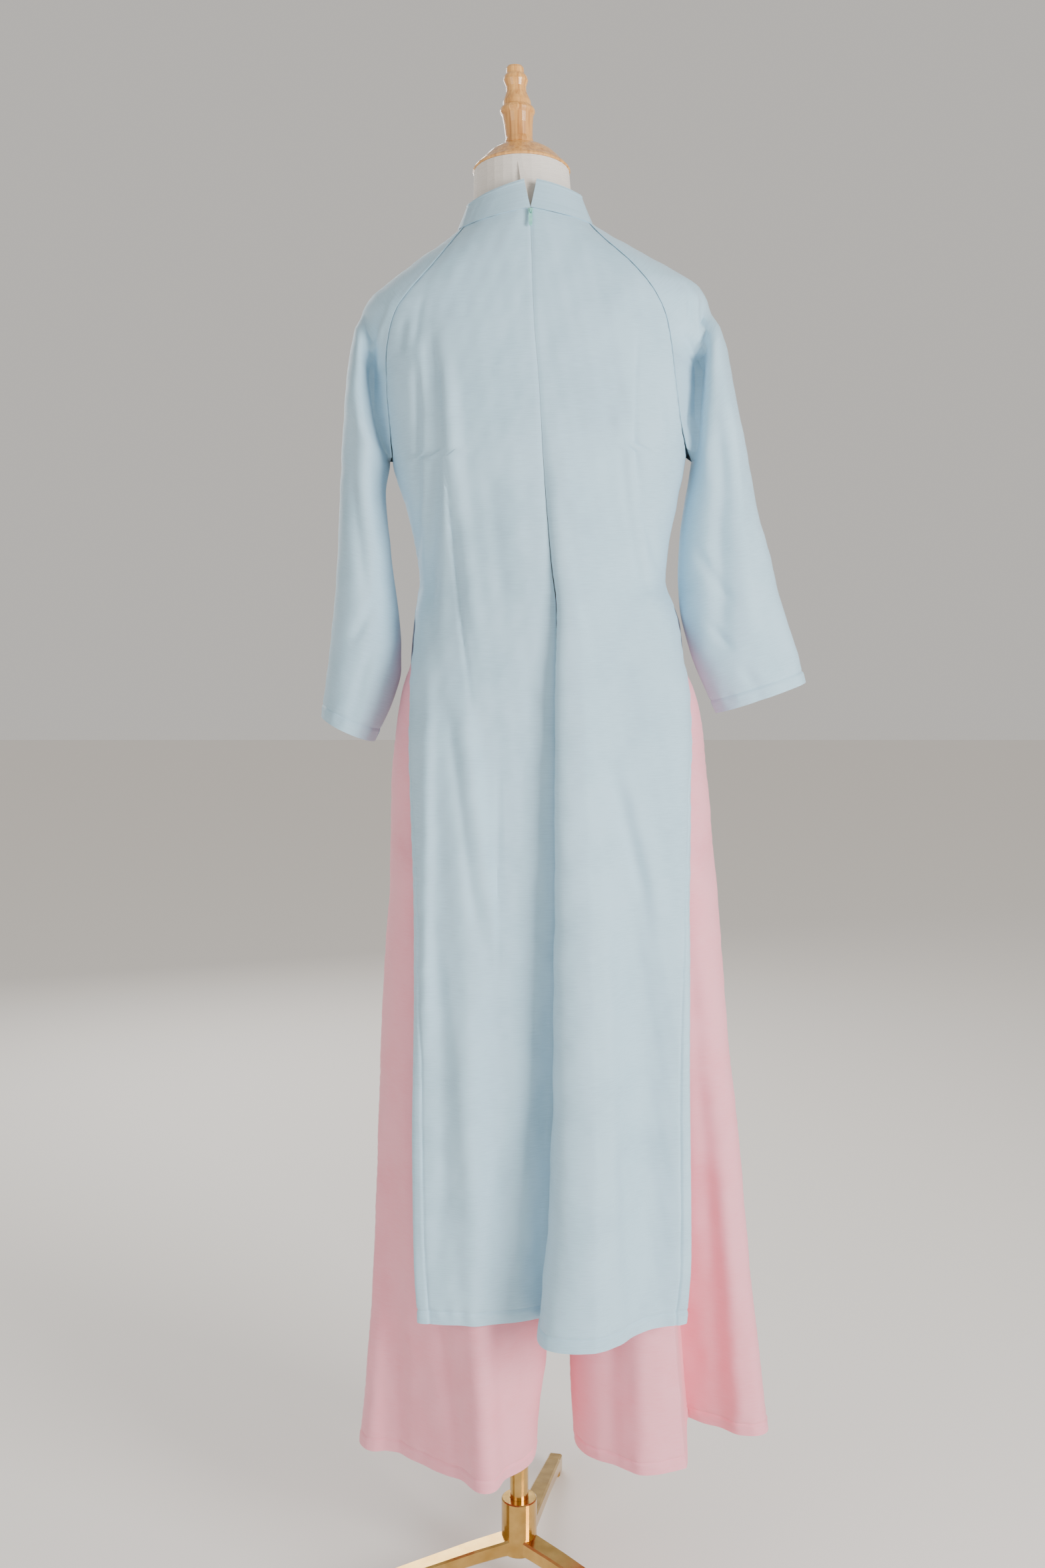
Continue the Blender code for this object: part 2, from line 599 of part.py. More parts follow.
def material(name, colour, roughness, metallic=0.0):
    made = bpy.data.materials.new(name)
    made.use_nodes = True
    shader = made.node_tree.nodes["Principled BSDF"]
    shader.inputs["Base Color"].default_value = (*colour, 1.0)
    shader.inputs["Roughness"].default_value = roughness
    shader.inputs["Metallic"].default_value = metallic
    made.diffuse_color = (*colour, 1.0)
    return made


def add_object(name, bm, finish, smooth_angle=40.0):
    """A finished bmesh becomes a named object with its material, shaded smooth."""
    mesh = bpy.data.meshes.new(name)
    bm.to_mesh(mesh)
    bm.free()
    mesh.materials.append(finish)
    mesh.shade_smooth()
    mesh.set_sharp_from_angle(angle=math.radians(smooth_angle))
    made = bpy.data.objects.new(name, mesh)
    bpy.context.scene.collection.objects.link(made)
    return made


def normals(panel, across, down):
    """Unit normals of a panel's outer face, from small steps across and down it."""
    low, high = across.min(), across.max()
    bottom, top = down.min(), down.max()
    before = np.clip(across - NORMAL_STEP, low, high)
    after = np.clip(across + NORMAL_STEP, low, high)
    below = np.clip(down - NORMAL_STEP, bottom, top)
    above = np.clip(down + NORMAL_STEP, bottom, top)
    run = panel(after, down) - panel(before, down)
    climb = panel(across, above) - panel(across, below)
    found = np.cross(run, climb)
    return found / np.linalg.norm(found, axis=-1, keepdims=True)


def pull_back(points, axis, end, gap):
    """Moves a grid's first or last line of points along the grid, away from a seam."""
    lines = np.moveaxis(points, axis, 0)
    edge, beside = (0, 1) if end == "first" else (-1, -2)
    step = lines[beside] - lines[edge]
    lines[edge] += step * gap / np.linalg.norm(step, axis=-1, keepdims=True)


def cloth_wall(
    name, panel, across, down, finish, turned=1, seams=(), shared=None, gap=SEAM_GAP / 2
):
    """A cloth wall from a panel's function, at the given stations across and down it.

    seams names the grid's edges that stand back from a neighbour. shared replaces the
    normals of the outer columns, where two pieces meet at an angle.
    """
    grid_across, grid_down = np.meshgrid(across, down)
    outer = panel(grid_across, grid_down)
    facing = normals(panel, grid_across, grid_down) * turned
    if shared:
        shared(facing, grid_down)
    inner = outer - facing * WALL
    for points in (outer, inner):
        for axis, end in seams:
            pull_back(points, axis, end, gap)

    rows, columns = grid_across.shape
    bm = bmesh.new()
    bmesh.ops.create_grid(bm, x_segments=columns - 1, y_segments=rows - 1, size=0.5)
    sheet = list(bm.verts)
    places = {}
    for vert in sheet:
        column = round((vert.co.x + 0.5) * (columns - 1))
        row = round((vert.co.y + 0.5) * (rows - 1))
        places[vert] = (row, column)
    sheet_faces = list(bm.faces)
    kept = [vert.co.copy() for vert in sheet]
    grown = bmesh.ops.extrude_face_region(bm, geom=sheet_faces, use_keep_orig=True)
    copies = [item for item in grown["geom"] if isinstance(item, bmesh.types.BMVert)]
    for vert in copies:
        column = round((vert.co.x + 0.5) * (columns - 1))
        row = round((vert.co.y + 0.5) * (rows - 1))
        vert.co = outer[row, column]
    for vert, start in zip(sheet, kept):
        row, column = places[vert]
        vert.co = inner[row, column]
    bmesh.ops.recalc_face_normals(bm, faces=bm.faces)
    if bm.calc_volume(signed=True) < 0:
        bmesh.ops.reverse_faces(bm, faces=bm.faces)
    return add_object(name, bm, finish)


def turned_solid(name, profile, finish, segments=28, centre=(0.0, 0.0)):
    """A closed solid turned about a vertical axis from (height, radius) pairs."""
    bm = bmesh.new()
    line = [bm.verts.new((radius, 0.0, height)) for height, radius in profile]
    ends = [bm.verts.new((0.0, 0.0, profile[k][0])) for k in (0, -1)]
    chain = [ends[0]] + line + [ends[1]]
    edges = [bm.edges.new(pair) for pair in zip(chain[:-1], chain[1:])]
    bmesh.ops.spin(
        bm,
        geom=chain + edges,
        axis=(0, 0, 1),
        cent=(0, 0, 0),
        angle=2 * math.pi,
        steps=segments,
        use_merge=True,
    )
    bmesh.ops.remove_doubles(bm, verts=bm.verts, dist=1e-6)
    bmesh.ops.recalc_face_normals(bm, faces=bm.faces)
    bmesh.ops.translate(bm, verts=bm.verts, vec=(centre[0], centre[1], 0.0))
    return add_object(name, bm, finish)


def cut(target, cutter):
    """Takes one object's shape out of another."""
    cutter.hide_render = True
    cutter.display_type = "WIRE"
    boolean = target.modifiers.new("cut", "BOOLEAN")
    boolean.operation = "DIFFERENCE"
    boolean.solver = "EXACT"
    boolean.object = cutter


def make_form(finish):
    """The body of the dress form: a smooth stack of sections with a flat base."""
    heights = (
        NECK_TOP, 1.635, 1.623, 1.612, 1.600, 1.592, 1.585, 1.577, 1.569, 1.558, 1.546, 1.532,
        1.519, 1.508, 1.495, 1.470, 1.440, 1.400, 1.360, 1.320, 1.280, 1.240, 1.195, 1.150,
        1.100, 1.050, 1.000, 0.960, 0.930,
    )
    around = 32
    turn = np.arange(around) * 2 * math.pi / around
    bm = bmesh.new()
    rings = []
    for level in heights:
        height = np.full(around, level)
        centre = read(FORM, "centre", height)
        half = read(FORM, "half", height)
        power = read(FORM, "power", height)
        depth = np.where(
            np.sin(turn) >= 0, read(FORM, "back", height), read(FORM, "front", height)
        )
        under_tunic = smooth((NECKLINE - level) / 0.03) * smooth((level - SLIT_TOP) / 0.02)
        half = half - UNDER_TUNIC * under_tunic
        depth = depth - UNDER_TUNIC * under_tunic * np.sign(depth)
        x, y = on_section((centre + half, centre - half, np.zeros(around), depth, power), turn)
        points = settled(x, y, height)
        if level > NECKLINE + 0.01:
            points[:, 2] = level + NECK_TILT * points[:, 1] * smooth((level - 1.60) / 0.03)
        rings.append([bm.verts.new(point) for point in points])
    for upper, lower in zip(rings[:-1], rings[1:]):
        loops = []
        for ring in (upper, lower):
            loops += [
                bm.edges.get((a, b)) or bm.edges.new((a, b))
                for a, b in zip(ring, ring[1:] + ring[:1])
            ]
        bmesh.ops.bridge_loops(bm, edges=loops)
    bm.faces.new(rings[0])
    bm.faces.new(rings[-1][::-1])
    bmesh.ops.recalc_face_normals(bm, faces=bm.faces)
    form = add_object("form_body", bm, finish)
    socket = turned_solid(
        "cutter_pole_socket",
        (
            (FORM_BOTTOM - 0.010, POLE_RADIUS + SOCKET_GAP),
            (FORM_BOTTOM + POLE_SOCKET, POLE_RADIUS + SOCKET_GAP),
        ),
        finish,
        24,
    )
    cut(form, socket)


def make_wood(finish):
    """Domed cap on the neck's sloping top, and the turned finial on it."""
    neck_top = NECK_TOP + SOCKET_GAP
    cap = turned_solid("neck_cap", CAP + ((CAP_TOP, CAP_TOP_RADIUS),), finish, 36)
    for vert in cap.data.vertices:
        sunk = NECK_TILT * vert.co.y
        vert.co.y -= NECK_TILT * vert.co.z
        vert.co.z += neck_top + sunk
        vert.co.x += FORM["centre"][-1]
    finial = turned_solid("finial", FINIAL, finish, 24)
    for vert in finial.data.vertices:
        sunk = NECK_TILT * vert.co.y * (1 - vert.co.z / FINIAL[-1][0])
        vert.co.x += FINIAL_LEAN * vert.co.z - 0.0009
        vert.co.y -= NECK_TILT * (CAP_TOP + vert.co.z * 0.5)
        vert.co.z += neck_top + CAP_TOP + sunk


def make_stand(finish):
    """Pole, and the hub cast in one with three splayed legs on flat feet."""
    pole_foot = HUB_TOP - POLE_SOCKET
    turned_solid(
        "pole",
        (
            (pole_foot + SOCKET_GAP, POLE_RADIUS),
            (FORM_BOTTOM + POLE_SOCKET - SOCKET_GAP, POLE_RADIUS),
        ),
        finish,
        24,
    )
    lip = 0.0012
    base = turned_solid(
        "base",
        (
            (HUB_BOTTOM, HUB_RADIUS - lip),
            (HUB_BOTTOM + lip, HUB_RADIUS),
            (HUB_TOP - lip, HUB_RADIUS),
            (HUB_TOP, HUB_RADIUS - lip),
        ),
        finish,
        32,
    )
    for number, turn in enumerate(LEG_TURNS, start=1):
        leg = make_leg(f"cutter_leg_{number}", math.radians(turn), finish)
        leg.hide_render = True
        leg.display_type = "WIRE"
        union = base.modifiers.new(f"leg {number}", "BOOLEAN")
        union.operation = "UNION"
        union.solver = "EXACT"
        union.object = leg
    bore = turned_solid(
        "cutter_hub_bore",
        ((pole_foot, POLE_RADIUS + SOCKET_GAP), (HUB_TOP + 0.010, POLE_RADIUS + SOCKET_GAP)),
        finish,
        24,
    )
    cut(base, bore)


def make_leg(name, turn, finish):
    """One leg: a deep bar that runs down and out from inside the hub, and its flat foot."""
    foot_start = LEG_REACH - FOOT_LENGTH
    stations = (
        (0.012, LEG_ROOT_WIDTH, LEG_ROOT_TOP + 0.002, LEG_ROOT_TOP - LEG_ROOT_DEPTH),
        (HUB_RADIUS + 0.004, LEG_ROOT_WIDTH, LEG_ROOT_TOP, LEG_ROOT_TOP - LEG_ROOT_DEPTH),
        (0.060, 0.0250, 0.0560, 0.0375),
        (0.150, 0.0220, 0.0420, 0.0255),
        (foot_start, LEG_TIP_WIDTH, LEG_TIP_TOP + 0.003, LEG_TIP_TOP - LEG_TIP_DEPTH),
        (foot_start + 0.004, FOOT_WIDTH, LEG_TIP_TOP + 0.0025, 0.0),
        (LEG_REACH - 0.004, FOOT_WIDTH, LEG_TIP_TOP, 0.0),
        (LEG_REACH, FOOT_WIDTH - 0.004, LEG_TIP_TOP - 0.003, 0.002),
    )
    chamfer = 0.0022
    bm = bmesh.new()
    rings = []
    for reach, width, top, bottom in stations:
        half = width / 2
        outline = (
            (-half + chamfer, top),
            (half - chamfer, top),
            (half, top - chamfer),
            (half, bottom + chamfer),
            (half - chamfer, bottom),
            (-half + chamfer, bottom),
            (-half, bottom + chamfer),
            (-half, top - chamfer),
        )
        rings.append([bm.verts.new((side, -reach, height)) for side, height in outline])
    for near, far in zip(rings[:-1], rings[1:]):
        loops = []
        for ring in (near, far):
            loops += [
                bm.edges.get((a, b)) or bm.edges.new((a, b))
                for a, b in zip(ring, ring[1:] + ring[:1])
            ]
        bmesh.ops.bridge_loops(bm, edges=loops)
    bm.faces.new(rings[0])
    bm.faces.new(rings[-1][::-1])
    bmesh.ops.recalc_face_normals(bm, faces=bm.faces)
    spin_leg(bm, turn)
    return add_object(name, bm, finish, 30.0)


def spin_leg(bm, turn):
    """Turns a leg's mesh about the pole, from straight forward towards the wearer's right."""
    for vert in bm.verts:
        x, y = vert.co.x, vert.co.y
        vert.co.x = x * math.cos(turn) + y * math.sin(turn)
        vert.co.y = y * math.cos(turn) - x * math.sin(turn)


def sleeve_shared(side):
    """Gives a sleeve's raglan edges the normals of the body, as the back and front have."""

    def shared(facing, grid_down):
        for column, face in ((0, "back"), (-1, "front")):
            down = grid_down[:, column]
            on_body = body_normals(face, side, down)
            above = down >= ARMPIT
            facing[above, column] = on_body[above]

    return shared


def body_normals(face, side, down):
    """Outward normals of the tunic's section at its raglan seam."""
    turn = edge_turn(face, side, down)
    step = 0.02
    centre_ways = []
    for shift in (-step, step):
        nearby = np.clip(turn + shift, 0.0, math.pi)
        x, y = on_section(tunic_section(face, down), nearby)
        centre_ways.append(settled(x, y, down))
    run = centre_ways[1] - centre_ways[0]
    climbs = []
    for shift in (-0.004, 0.004):
        height = down + shift
        x, y = on_section(tunic_section(face, height), turn)
        climbs.append(settled(x, y, height))
    found = np.cross(run, climbs[1] - climbs[0])
    found = found / np.linalg.norm(found, axis=-1, keepdims=True)
    outward = found[:, 1] * (1 if face == "back" else -1) + found[:, 0] * side * 0.01
    return found * np.where(outward > 0, 1.0, -1.0)[:, None]


def make_tunic(finish):
    """Back halves, front, sleeves and collar."""
    seam_rows = np.array(
        (
            NECKLINE, 1.571, 1.558, 1.544, 1.530, 1.516, 1.501, 1.485, 1.465, 1.440,
            1.412, 1.384, 1.362, 1.350, 1.342, ARMPIT,
        )
    )
    side_rows = np.array((1.300, 1.265, 1.230, SLIT_TOP))
    flap_rows = np.array((1.172, 1.140, 1.100, 1.050, 0.980, 0.880, 0.780, 0.640, 0.500, TUNIC_HEM))
    rows = np.concatenate([seam_rows, side_rows, flap_rows])
    both = ((1, "first"), (1, "last"))
    cloth_wall(
        "back_left", lambda a, d: back_panel(1, a, d), LEFT_ACROSS, rows, finish, 1, both,
        shared=panel_shared("back", (1, None)),
    )
    cloth_wall(
        "back_right", lambda a, d: back_panel(-1, a, d), RIGHT_ACROSS, rows, finish, -1, both,
        shared=panel_shared("back", (-1, None)),
    )
    cloth_wall(
        "front", front_panel, FRONT_ACROSS, rows, finish, -1, both,
        shared=panel_shared("front", (1, -1)),
    )
    for side, name in ((1, "left"), (-1, "right")):
        low = SLEEVES[side]["height"][0]
        tube_rows = np.linspace(ARMPIT, low, 9)[1:]
        cloth_wall(
            f"sleeve_{name}",
            lambda a, d, side=side: sleeve(side, a, d),
            AROUND,
            np.concatenate([seam_rows, tube_rows]),
            finish,
            -side,
            both,
            shared=sleeve_shared(side),
            gap=SLEEVE_GAP,
        )
    cloth_wall(
        "collar", collar_panel, NECK_RUN / NECK_RUN[-1], np.array((0.0, 0.5, 1.0)), finish, -1
    )


def panel_shared(face, sides):
    """Gives a body panel's raglan edges the normals that the sleeves' edges have."""

    def shared(facing, grid_down):
        for column, side in zip((0, -1), sides):
            if side is None:
                continue
            down = grid_down[:, column]
            above = down >= ARMPIT
            facing[above, column] = body_normals(face, side, down)[above]

    return shared


def make_trousers(finish):
    """Waistband and four leg panels."""
    hips = np.array((1.1503, 1.120, 1.084, 1.036, 0.980, CROTCH_START, 0.905, 0.890, 0.873, CROTCH))
    legs = np.array((0.800, 0.700, 0.600, 0.500, 0.400, 0.320, 0.250, TROUSER_HEM))
    down = np.concatenate([hips, legs])
    across = np.array((0.0, 0.07, 0.16, 0.28, 0.42, 0.56, 0.70, 0.82, 0.92, 1.0))
    deep = np.array(
        (0.0, 0.08, 0.17, 0.26, 0.35, 0.41, 0.436, 0.455, 0.476, 0.53, 0.63, 0.75, 0.87, 0.95, 1.0)
    )
    edges = ((1, "first"), (1, "last"), (0, "first"))
    for face in ("back", "front"):
        for side, name in ((1, "left"), (-1, "right")):
            stations = deep if (face, side) == ("back", -1) else across
            turned = side if face == "back" else -side
            cloth_wall(
                f"trouser_{face}_{name}",
                lambda a, d, face=face, side=side: leg_panel(face, side, a, d),
                stations,
                down,
                finish,
                turned,
                edges,
            )
    gap = 0.0006
    cloth_wall(
        "waistband",
        waistband_panel,
        np.linspace(gap, 1 - gap, 33),
        np.array((WAISTBAND_TOP, WAISTBAND_TOP - WAISTBAND_HEIGHT / 2, 1.1507)),
        finish,
    )


def seam_frame():
    """The middle of the slider's seat on the centre-back seam, and its out and up directions."""
    ones = np.ones(3)
    down = ZIP_MIDDLE + np.array((-0.003, 0.0, 0.003))
    low, middle, high = back_panel(-1, ones, down)
    up = high - low
    up[0] = 0.0
    up = up / np.linalg.norm(up)
    out = np.array([0.0, up[2], -up[1]])
    return middle, out, up


def place_on_seam(bm):
    """Moves a mesh made as (across, out, up) to its place on the centre-back seam."""
    middle, out, up = seam_frame()
    for vert in bm.verts:
        vert.co = middle + vert.co.x * np.array([1.0, 0.0, 0.0]) + vert.co.y * out + vert.co.z * up
    bmesh.ops.recalc_face_normals(bm, faces=bm.faces)


def make_zip(finish):
    """Slider at the top of the centre-back seam, with a drop-shaped pull tab."""
    body = bmesh.new()
    bmesh.ops.create_cube(body, size=1.0)
    for vert in body.verts:
        narrow = 1.0 if vert.co.z > 0 else 0.7
        vert.co = (
            vert.co.x * SLIDER_WIDTH * narrow,
            SLIDER_OFF + (vert.co.y + 0.5) * SLIDER_THICKNESS,
            vert.co.z * SLIDER_LENGTH,
        )
    bmesh.ops.bevel(
        body, geom=body.edges[:], offset=0.0004, segments=2, profile=0.5, affect="EDGES", material=-1
    )
    place_on_seam(body)
    slider = add_object("zip_slider", body, finish)
    bridge = make_bridge(finish)
    union = slider.modifiers.new("bridge", "BOOLEAN")
    union.operation = "UNION"
    union.solver = "EXACT"
    union.object = bridge
    make_pull(finish)


def make_bridge(finish):
    """The little arch on the slider that holds the pull."""
    face = SLIDER_OFF + SLIDER_THICKNESS
    sunk = face - 0.0005
    inside = face + 2 * BAR_HEIGHT
    outside = inside + BRIDGE_THICKNESS
    half = BRIDGE_SPAN / 2
    profile = (
        (sunk, half + BRIDGE_THICKNESS),
        (inside - 0.0002, half + BRIDGE_THICKNESS),
        (outside, half),
        (outside, -half),
        (inside - 0.0002, -half - BRIDGE_THICKNESS),
        (sunk, -half - BRIDGE_THICKNESS),
        (sunk, -half),
        (inside, -half),
        (inside, half),
        (sunk, half),
    )
    bm = bmesh.new()
    wall = bm.faces.new([bm.verts.new((-BRIDGE_WIDTH / 2, out, up)) for out, up in profile])
    grown = bmesh.ops.extrude_face_region(bm, geom=[wall], use_keep_orig=True)
    moved = [item for item in grown["geom"] if isinstance(item, bmesh.types.BMVert)]
    bmesh.ops.translate(bm, verts=moved, vec=(BRIDGE_WIDTH, 0, 0))
    place_on_seam(bm)
    arch = add_object("cutter_bridge", bm, finish)
    arch.hide_render = True
    arch.display_type = "WIRE"
    return arch


def make_pull(finish):
    """The pull tab: a drop with a hole whose top bar lies under the slider's arch."""
    bar = PULL_THICKNESS / 2
    round_end = PULL_WIDTH * 0.42
    lean = math.radians(PULL_LEAN)
    outline = [(-0.0016, bar), (-0.0019, -0.0030), (-PULL_WIDTH / 2, -PULL_LENGTH * 0.62)]
    for step in range(7):
        angle = math.pi * (1 + step / 6)
        drop = PULL_LENGTH - round_end - round_end * math.sin(angle)
        outline.append((round_end * math.cos(angle), -drop))
    outline += [(PULL_WIDTH / 2, -PULL_LENGTH * 0.62), (0.0019, -0.0030), (0.0016, bar)]
    hole = [
        (-PULL_HOLE / 2, -bar),
        (-PULL_HOLE / 2, -PULL_HOLE_END),
        (PULL_HOLE / 2, -PULL_HOLE_END),
        (PULL_HOLE / 2, -bar),
    ]
    made = []
    for name, points, thickness in (
        ("zip_pull", outline, PULL_THICKNESS),
        ("cutter_pull_hole", hole, 3 * PULL_THICKNESS),
    ):
        bm = tab_prism(points, thickness)
        for vert in bm.verts:
            out, up = vert.co.y, vert.co.z
            vert.co.y = out * math.cos(lean) + up * math.sin(lean)
            vert.co.z = up * math.cos(lean) - out * math.sin(lean)
            vert.co.y += SLIDER_OFF + SLIDER_THICKNESS + BAR_HEIGHT
        place_on_seam(bm)
        made.append(add_object(name, bm, finish))
    cut(*made)


def tab_prism(outline, thickness):
    """A flat plate with the given outline, as (across, up) pairs."""
    bm = bmesh.new()
    face = bm.faces.new([bm.verts.new((x, -thickness / 2, z)) for x, z in outline])
    grown = bmesh.ops.extrude_face_region(bm, geom=[face], use_keep_orig=True)
    moved = [item for item in grown["geom"] if isinstance(item, bmesh.types.BMVert)]
    bmesh.ops.translate(bm, verts=moved, vec=(0, thickness, 0))
    return bm


def centre_on_box():
    """Moves everything so that the middle of the whole box is over the origin."""
    graph = bpy.context.evaluated_depsgraph_get()
    corners = []
    for thing in bpy.data.objects:
        if not thing.hide_render:
            shape = thing.evaluated_get(graph)
            corners += [tuple(vert.co) for vert in shape.to_mesh().vertices]
            shape.to_mesh_clear()
    corners = np.array(corners)
    middle = (corners.min(axis=0) + corners.max(axis=0)) / 2
    for thing in bpy.data.objects:
        for vert in thing.data.vertices:
            vert.co.x -= middle[0]
            vert.co.y -= middle[1]


def main():
    clear_scene()
    tunic = material("tunic_cloth", (0.50, 0.60, 0.64), 0.55)
    trousers = material("trouser_cloth", (0.78, 0.46, 0.50), 0.60)
    linen = material("form_cloth", (0.62, 0.58, 0.54), 0.85)
    wood = material("turned_wood", (0.55, 0.34, 0.15), 0.35)
    brass = material("brass", (0.72, 0.52, 0.24), 0.20, 1.0)
    mint = material("zip_pull_paint", (0.45, 0.72, 0.66), 0.40)

    make_form(linen)
    make_wood(wood)
    make_stand(brass)
    make_tunic(tunic)
    make_trousers(trousers)
    make_zip(mint)
    centre_on_box()


main()
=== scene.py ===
"""The ao dai on its dress form and stand, finished as in the photograph.

The cloth walls follow the same surfaces as the solids, on finer grids, with the folds,
seams, hems and weave added. Metres, +Z up, the garment's back faces +Y.
"""

import math

import bmesh
import bpy
import numpy as np
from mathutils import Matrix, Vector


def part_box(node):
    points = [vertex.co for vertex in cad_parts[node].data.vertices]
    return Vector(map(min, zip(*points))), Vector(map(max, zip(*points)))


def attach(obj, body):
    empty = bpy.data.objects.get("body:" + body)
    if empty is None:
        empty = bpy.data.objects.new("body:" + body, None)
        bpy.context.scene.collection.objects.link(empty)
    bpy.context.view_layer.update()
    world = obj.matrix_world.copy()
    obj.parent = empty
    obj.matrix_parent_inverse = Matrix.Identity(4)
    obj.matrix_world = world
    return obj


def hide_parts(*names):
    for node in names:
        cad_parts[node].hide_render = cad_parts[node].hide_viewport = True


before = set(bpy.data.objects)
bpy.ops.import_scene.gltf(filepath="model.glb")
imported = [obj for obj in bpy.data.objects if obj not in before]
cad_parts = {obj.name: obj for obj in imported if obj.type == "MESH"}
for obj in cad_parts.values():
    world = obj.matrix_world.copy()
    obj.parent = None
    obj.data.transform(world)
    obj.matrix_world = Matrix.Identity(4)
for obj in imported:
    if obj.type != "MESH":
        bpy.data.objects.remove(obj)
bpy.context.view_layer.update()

POLE_LOW, POLE_HIGH = (np.array(corner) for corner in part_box("pole"))
POLE_PLACE = (POLE_LOW + POLE_HIGH) / 2 * np.array([1.0, 1.0, 0.0])
GARMENT = "stand_and_garment"

# Cloth
WALL = 0.0009
COLLAR_WALL = 0.0012
SEAM_GAP = 0.0002
ARMPIT_CLEAR = 0.0009
FINE = 0.0065
HEM_BAND = 0.014
SLIT_BAND = 0.016

# Heights of the garment's landmarks
NECKLINE = 1.583
NECK_RISE_BACK = 0.0122
NECK_DROP_FRONT = 0.026
ARMPIT = 1.335
SLIT_TOP = 1.195
TUNIC_HEM = 0.378
WAISTBAND_TOP = 1.185
CROTCH_START = 0.924
CROTCH = 0.855
TROUSER_HEM = 0.185
COLLAR_HEIGHT = 0.0312
NECK_TOP = 1.6465
SHOULDER_TILT = 0.030


def table(columns, *rows):
    """Named columns of a short table, sorted by height, which is its first column."""
    values = np.array(sorted(rows), float)
    return dict(zip(columns.split(), values.T))


def read(rows, column, height):
    """A column at any height, on a smooth curve through the rows that doesn't overshoot."""
    keys, values = rows["height"], rows[column]
    step = np.diff(keys)
    rise = np.diff(values) / step
    same_way = rise[:-1] * rise[1:] > 0
    total = np.where(same_way, rise[:-1] + rise[1:], 1.0)
    middle = np.where(same_way, 2 * rise[:-1] * rise[1:] / total, 0.0)
    slope = np.concatenate([rise[:1], middle, rise[-1:]])
    height = np.clip(height, keys[0], keys[-1])
    row = np.clip(np.searchsorted(keys, height, side="right") - 1, 0, len(step) - 1)
    t = (height - keys[row]) / step[row]
    low = values[row] * (1 + 2 * t) + slope[row] * step[row] * t
    high = values[row + 1] * (3 - 2 * t) + slope[row + 1] * step[row] * (t - 1)
    return low * (1 - t) ** 2 + high * t**2


def smooth(value):
    """0 below 0, 1 above 1, with soft ends."""
    t = np.clip(value, 0.0, 1.0)
    return t * t * (3 - 2 * t)


# Dress form: its sections, as centre, half width, and reach back and forward
FORM = table(
    "height centre half back front power",
    (NECK_TOP, -0.0030, 0.0525, 0.0525, -0.0525, 2.0),
    (1.6250, -0.0038, 0.0537, 0.0545, -0.0535, 2.0),
    (1.6080, -0.0044, 0.0547, 0.0590, -0.0545, 2.0),
    (1.6000, -0.0055, 0.0580, 0.0625, -0.0560, 2.0),
    (1.5920, -0.0070, 0.0655, 0.0665, -0.0580, 2.0),
    (1.5850, -0.0080, 0.0740, 0.0700, -0.0600, 2.0),
    (1.5700, -0.0100, 0.0960, 0.0750, -0.0660, 2.1),
    (1.5500, -0.0130, 0.1280, 0.0820, -0.0730, 2.2),
    (1.5300, -0.0160, 0.1590, 0.0880, -0.0800, 2.3),
    (1.5150, -0.0175, 0.1790, 0.0925, -0.0850, 2.35),
    (1.5000, -0.0180, 0.1860, 0.0965, -0.0890, 2.4),
    (1.4700, -0.0180, 0.1790, 0.1030, -0.0960, 2.4),
    (1.4400, -0.0190, 0.1730, 0.1075, -0.1030, 2.4),
    (1.4000, -0.0200, 0.1680, 0.1100, -0.1140, 2.4),
    (1.3350, -0.0215, 0.1580, 0.1090, -0.1280, 2.4),
    (1.2850, -0.0220, 0.1430, 0.1030, -0.1250, 2.3),
    (1.2400, -0.0230, 0.1320, 0.0950, -0.1100, 2.2),
    (1.1950, -0.0235, 0.1250, 0.0890, -0.0980, 2.2),
    (1.1500, -0.0250, 0.1310, 0.0910, -0.0980, 2.2),
    (1.0800, -0.0280, 0.1540, 0.1040, -0.1060, 2.2),
    (1.0000, -0.0310, 0.1700, 0.1140, -0.1080, 2.2),
    (0.9300, -0.0330, 0.1720, 0.1120, -0.1040, 2.2),
)

# How far the tunic's outer face stands off the form, down to its side slits
EASE = table(
    "height left right back front",
    (1.6500, 0.0028, 0.0028, 0.0028, 0.0028),
    (1.5700, 0.0028, 0.0032, 0.0028, 0.0030),
    (1.5400, 0.0040, 0.0045, 0.0032, 0.0045),
    (1.5000, 0.0045, 0.0045, 0.0032, 0.0045),
    (1.4300, 0.0042, 0.0042, 0.0036, 0.0042),
    (1.3800, 0.0044, 0.0056, 0.0046, 0.0048),
    (1.3350, 0.0046, 0.0072, 0.0060, 0.0060),
    (1.2850, 0.0050, 0.0116, 0.0085, 0.0100),
    (1.2400, 0.0077, 0.0133, 0.0135, 0.0220),
    (1.1950, 0.0105, 0.0172, 0.0180, 0.0300),
)

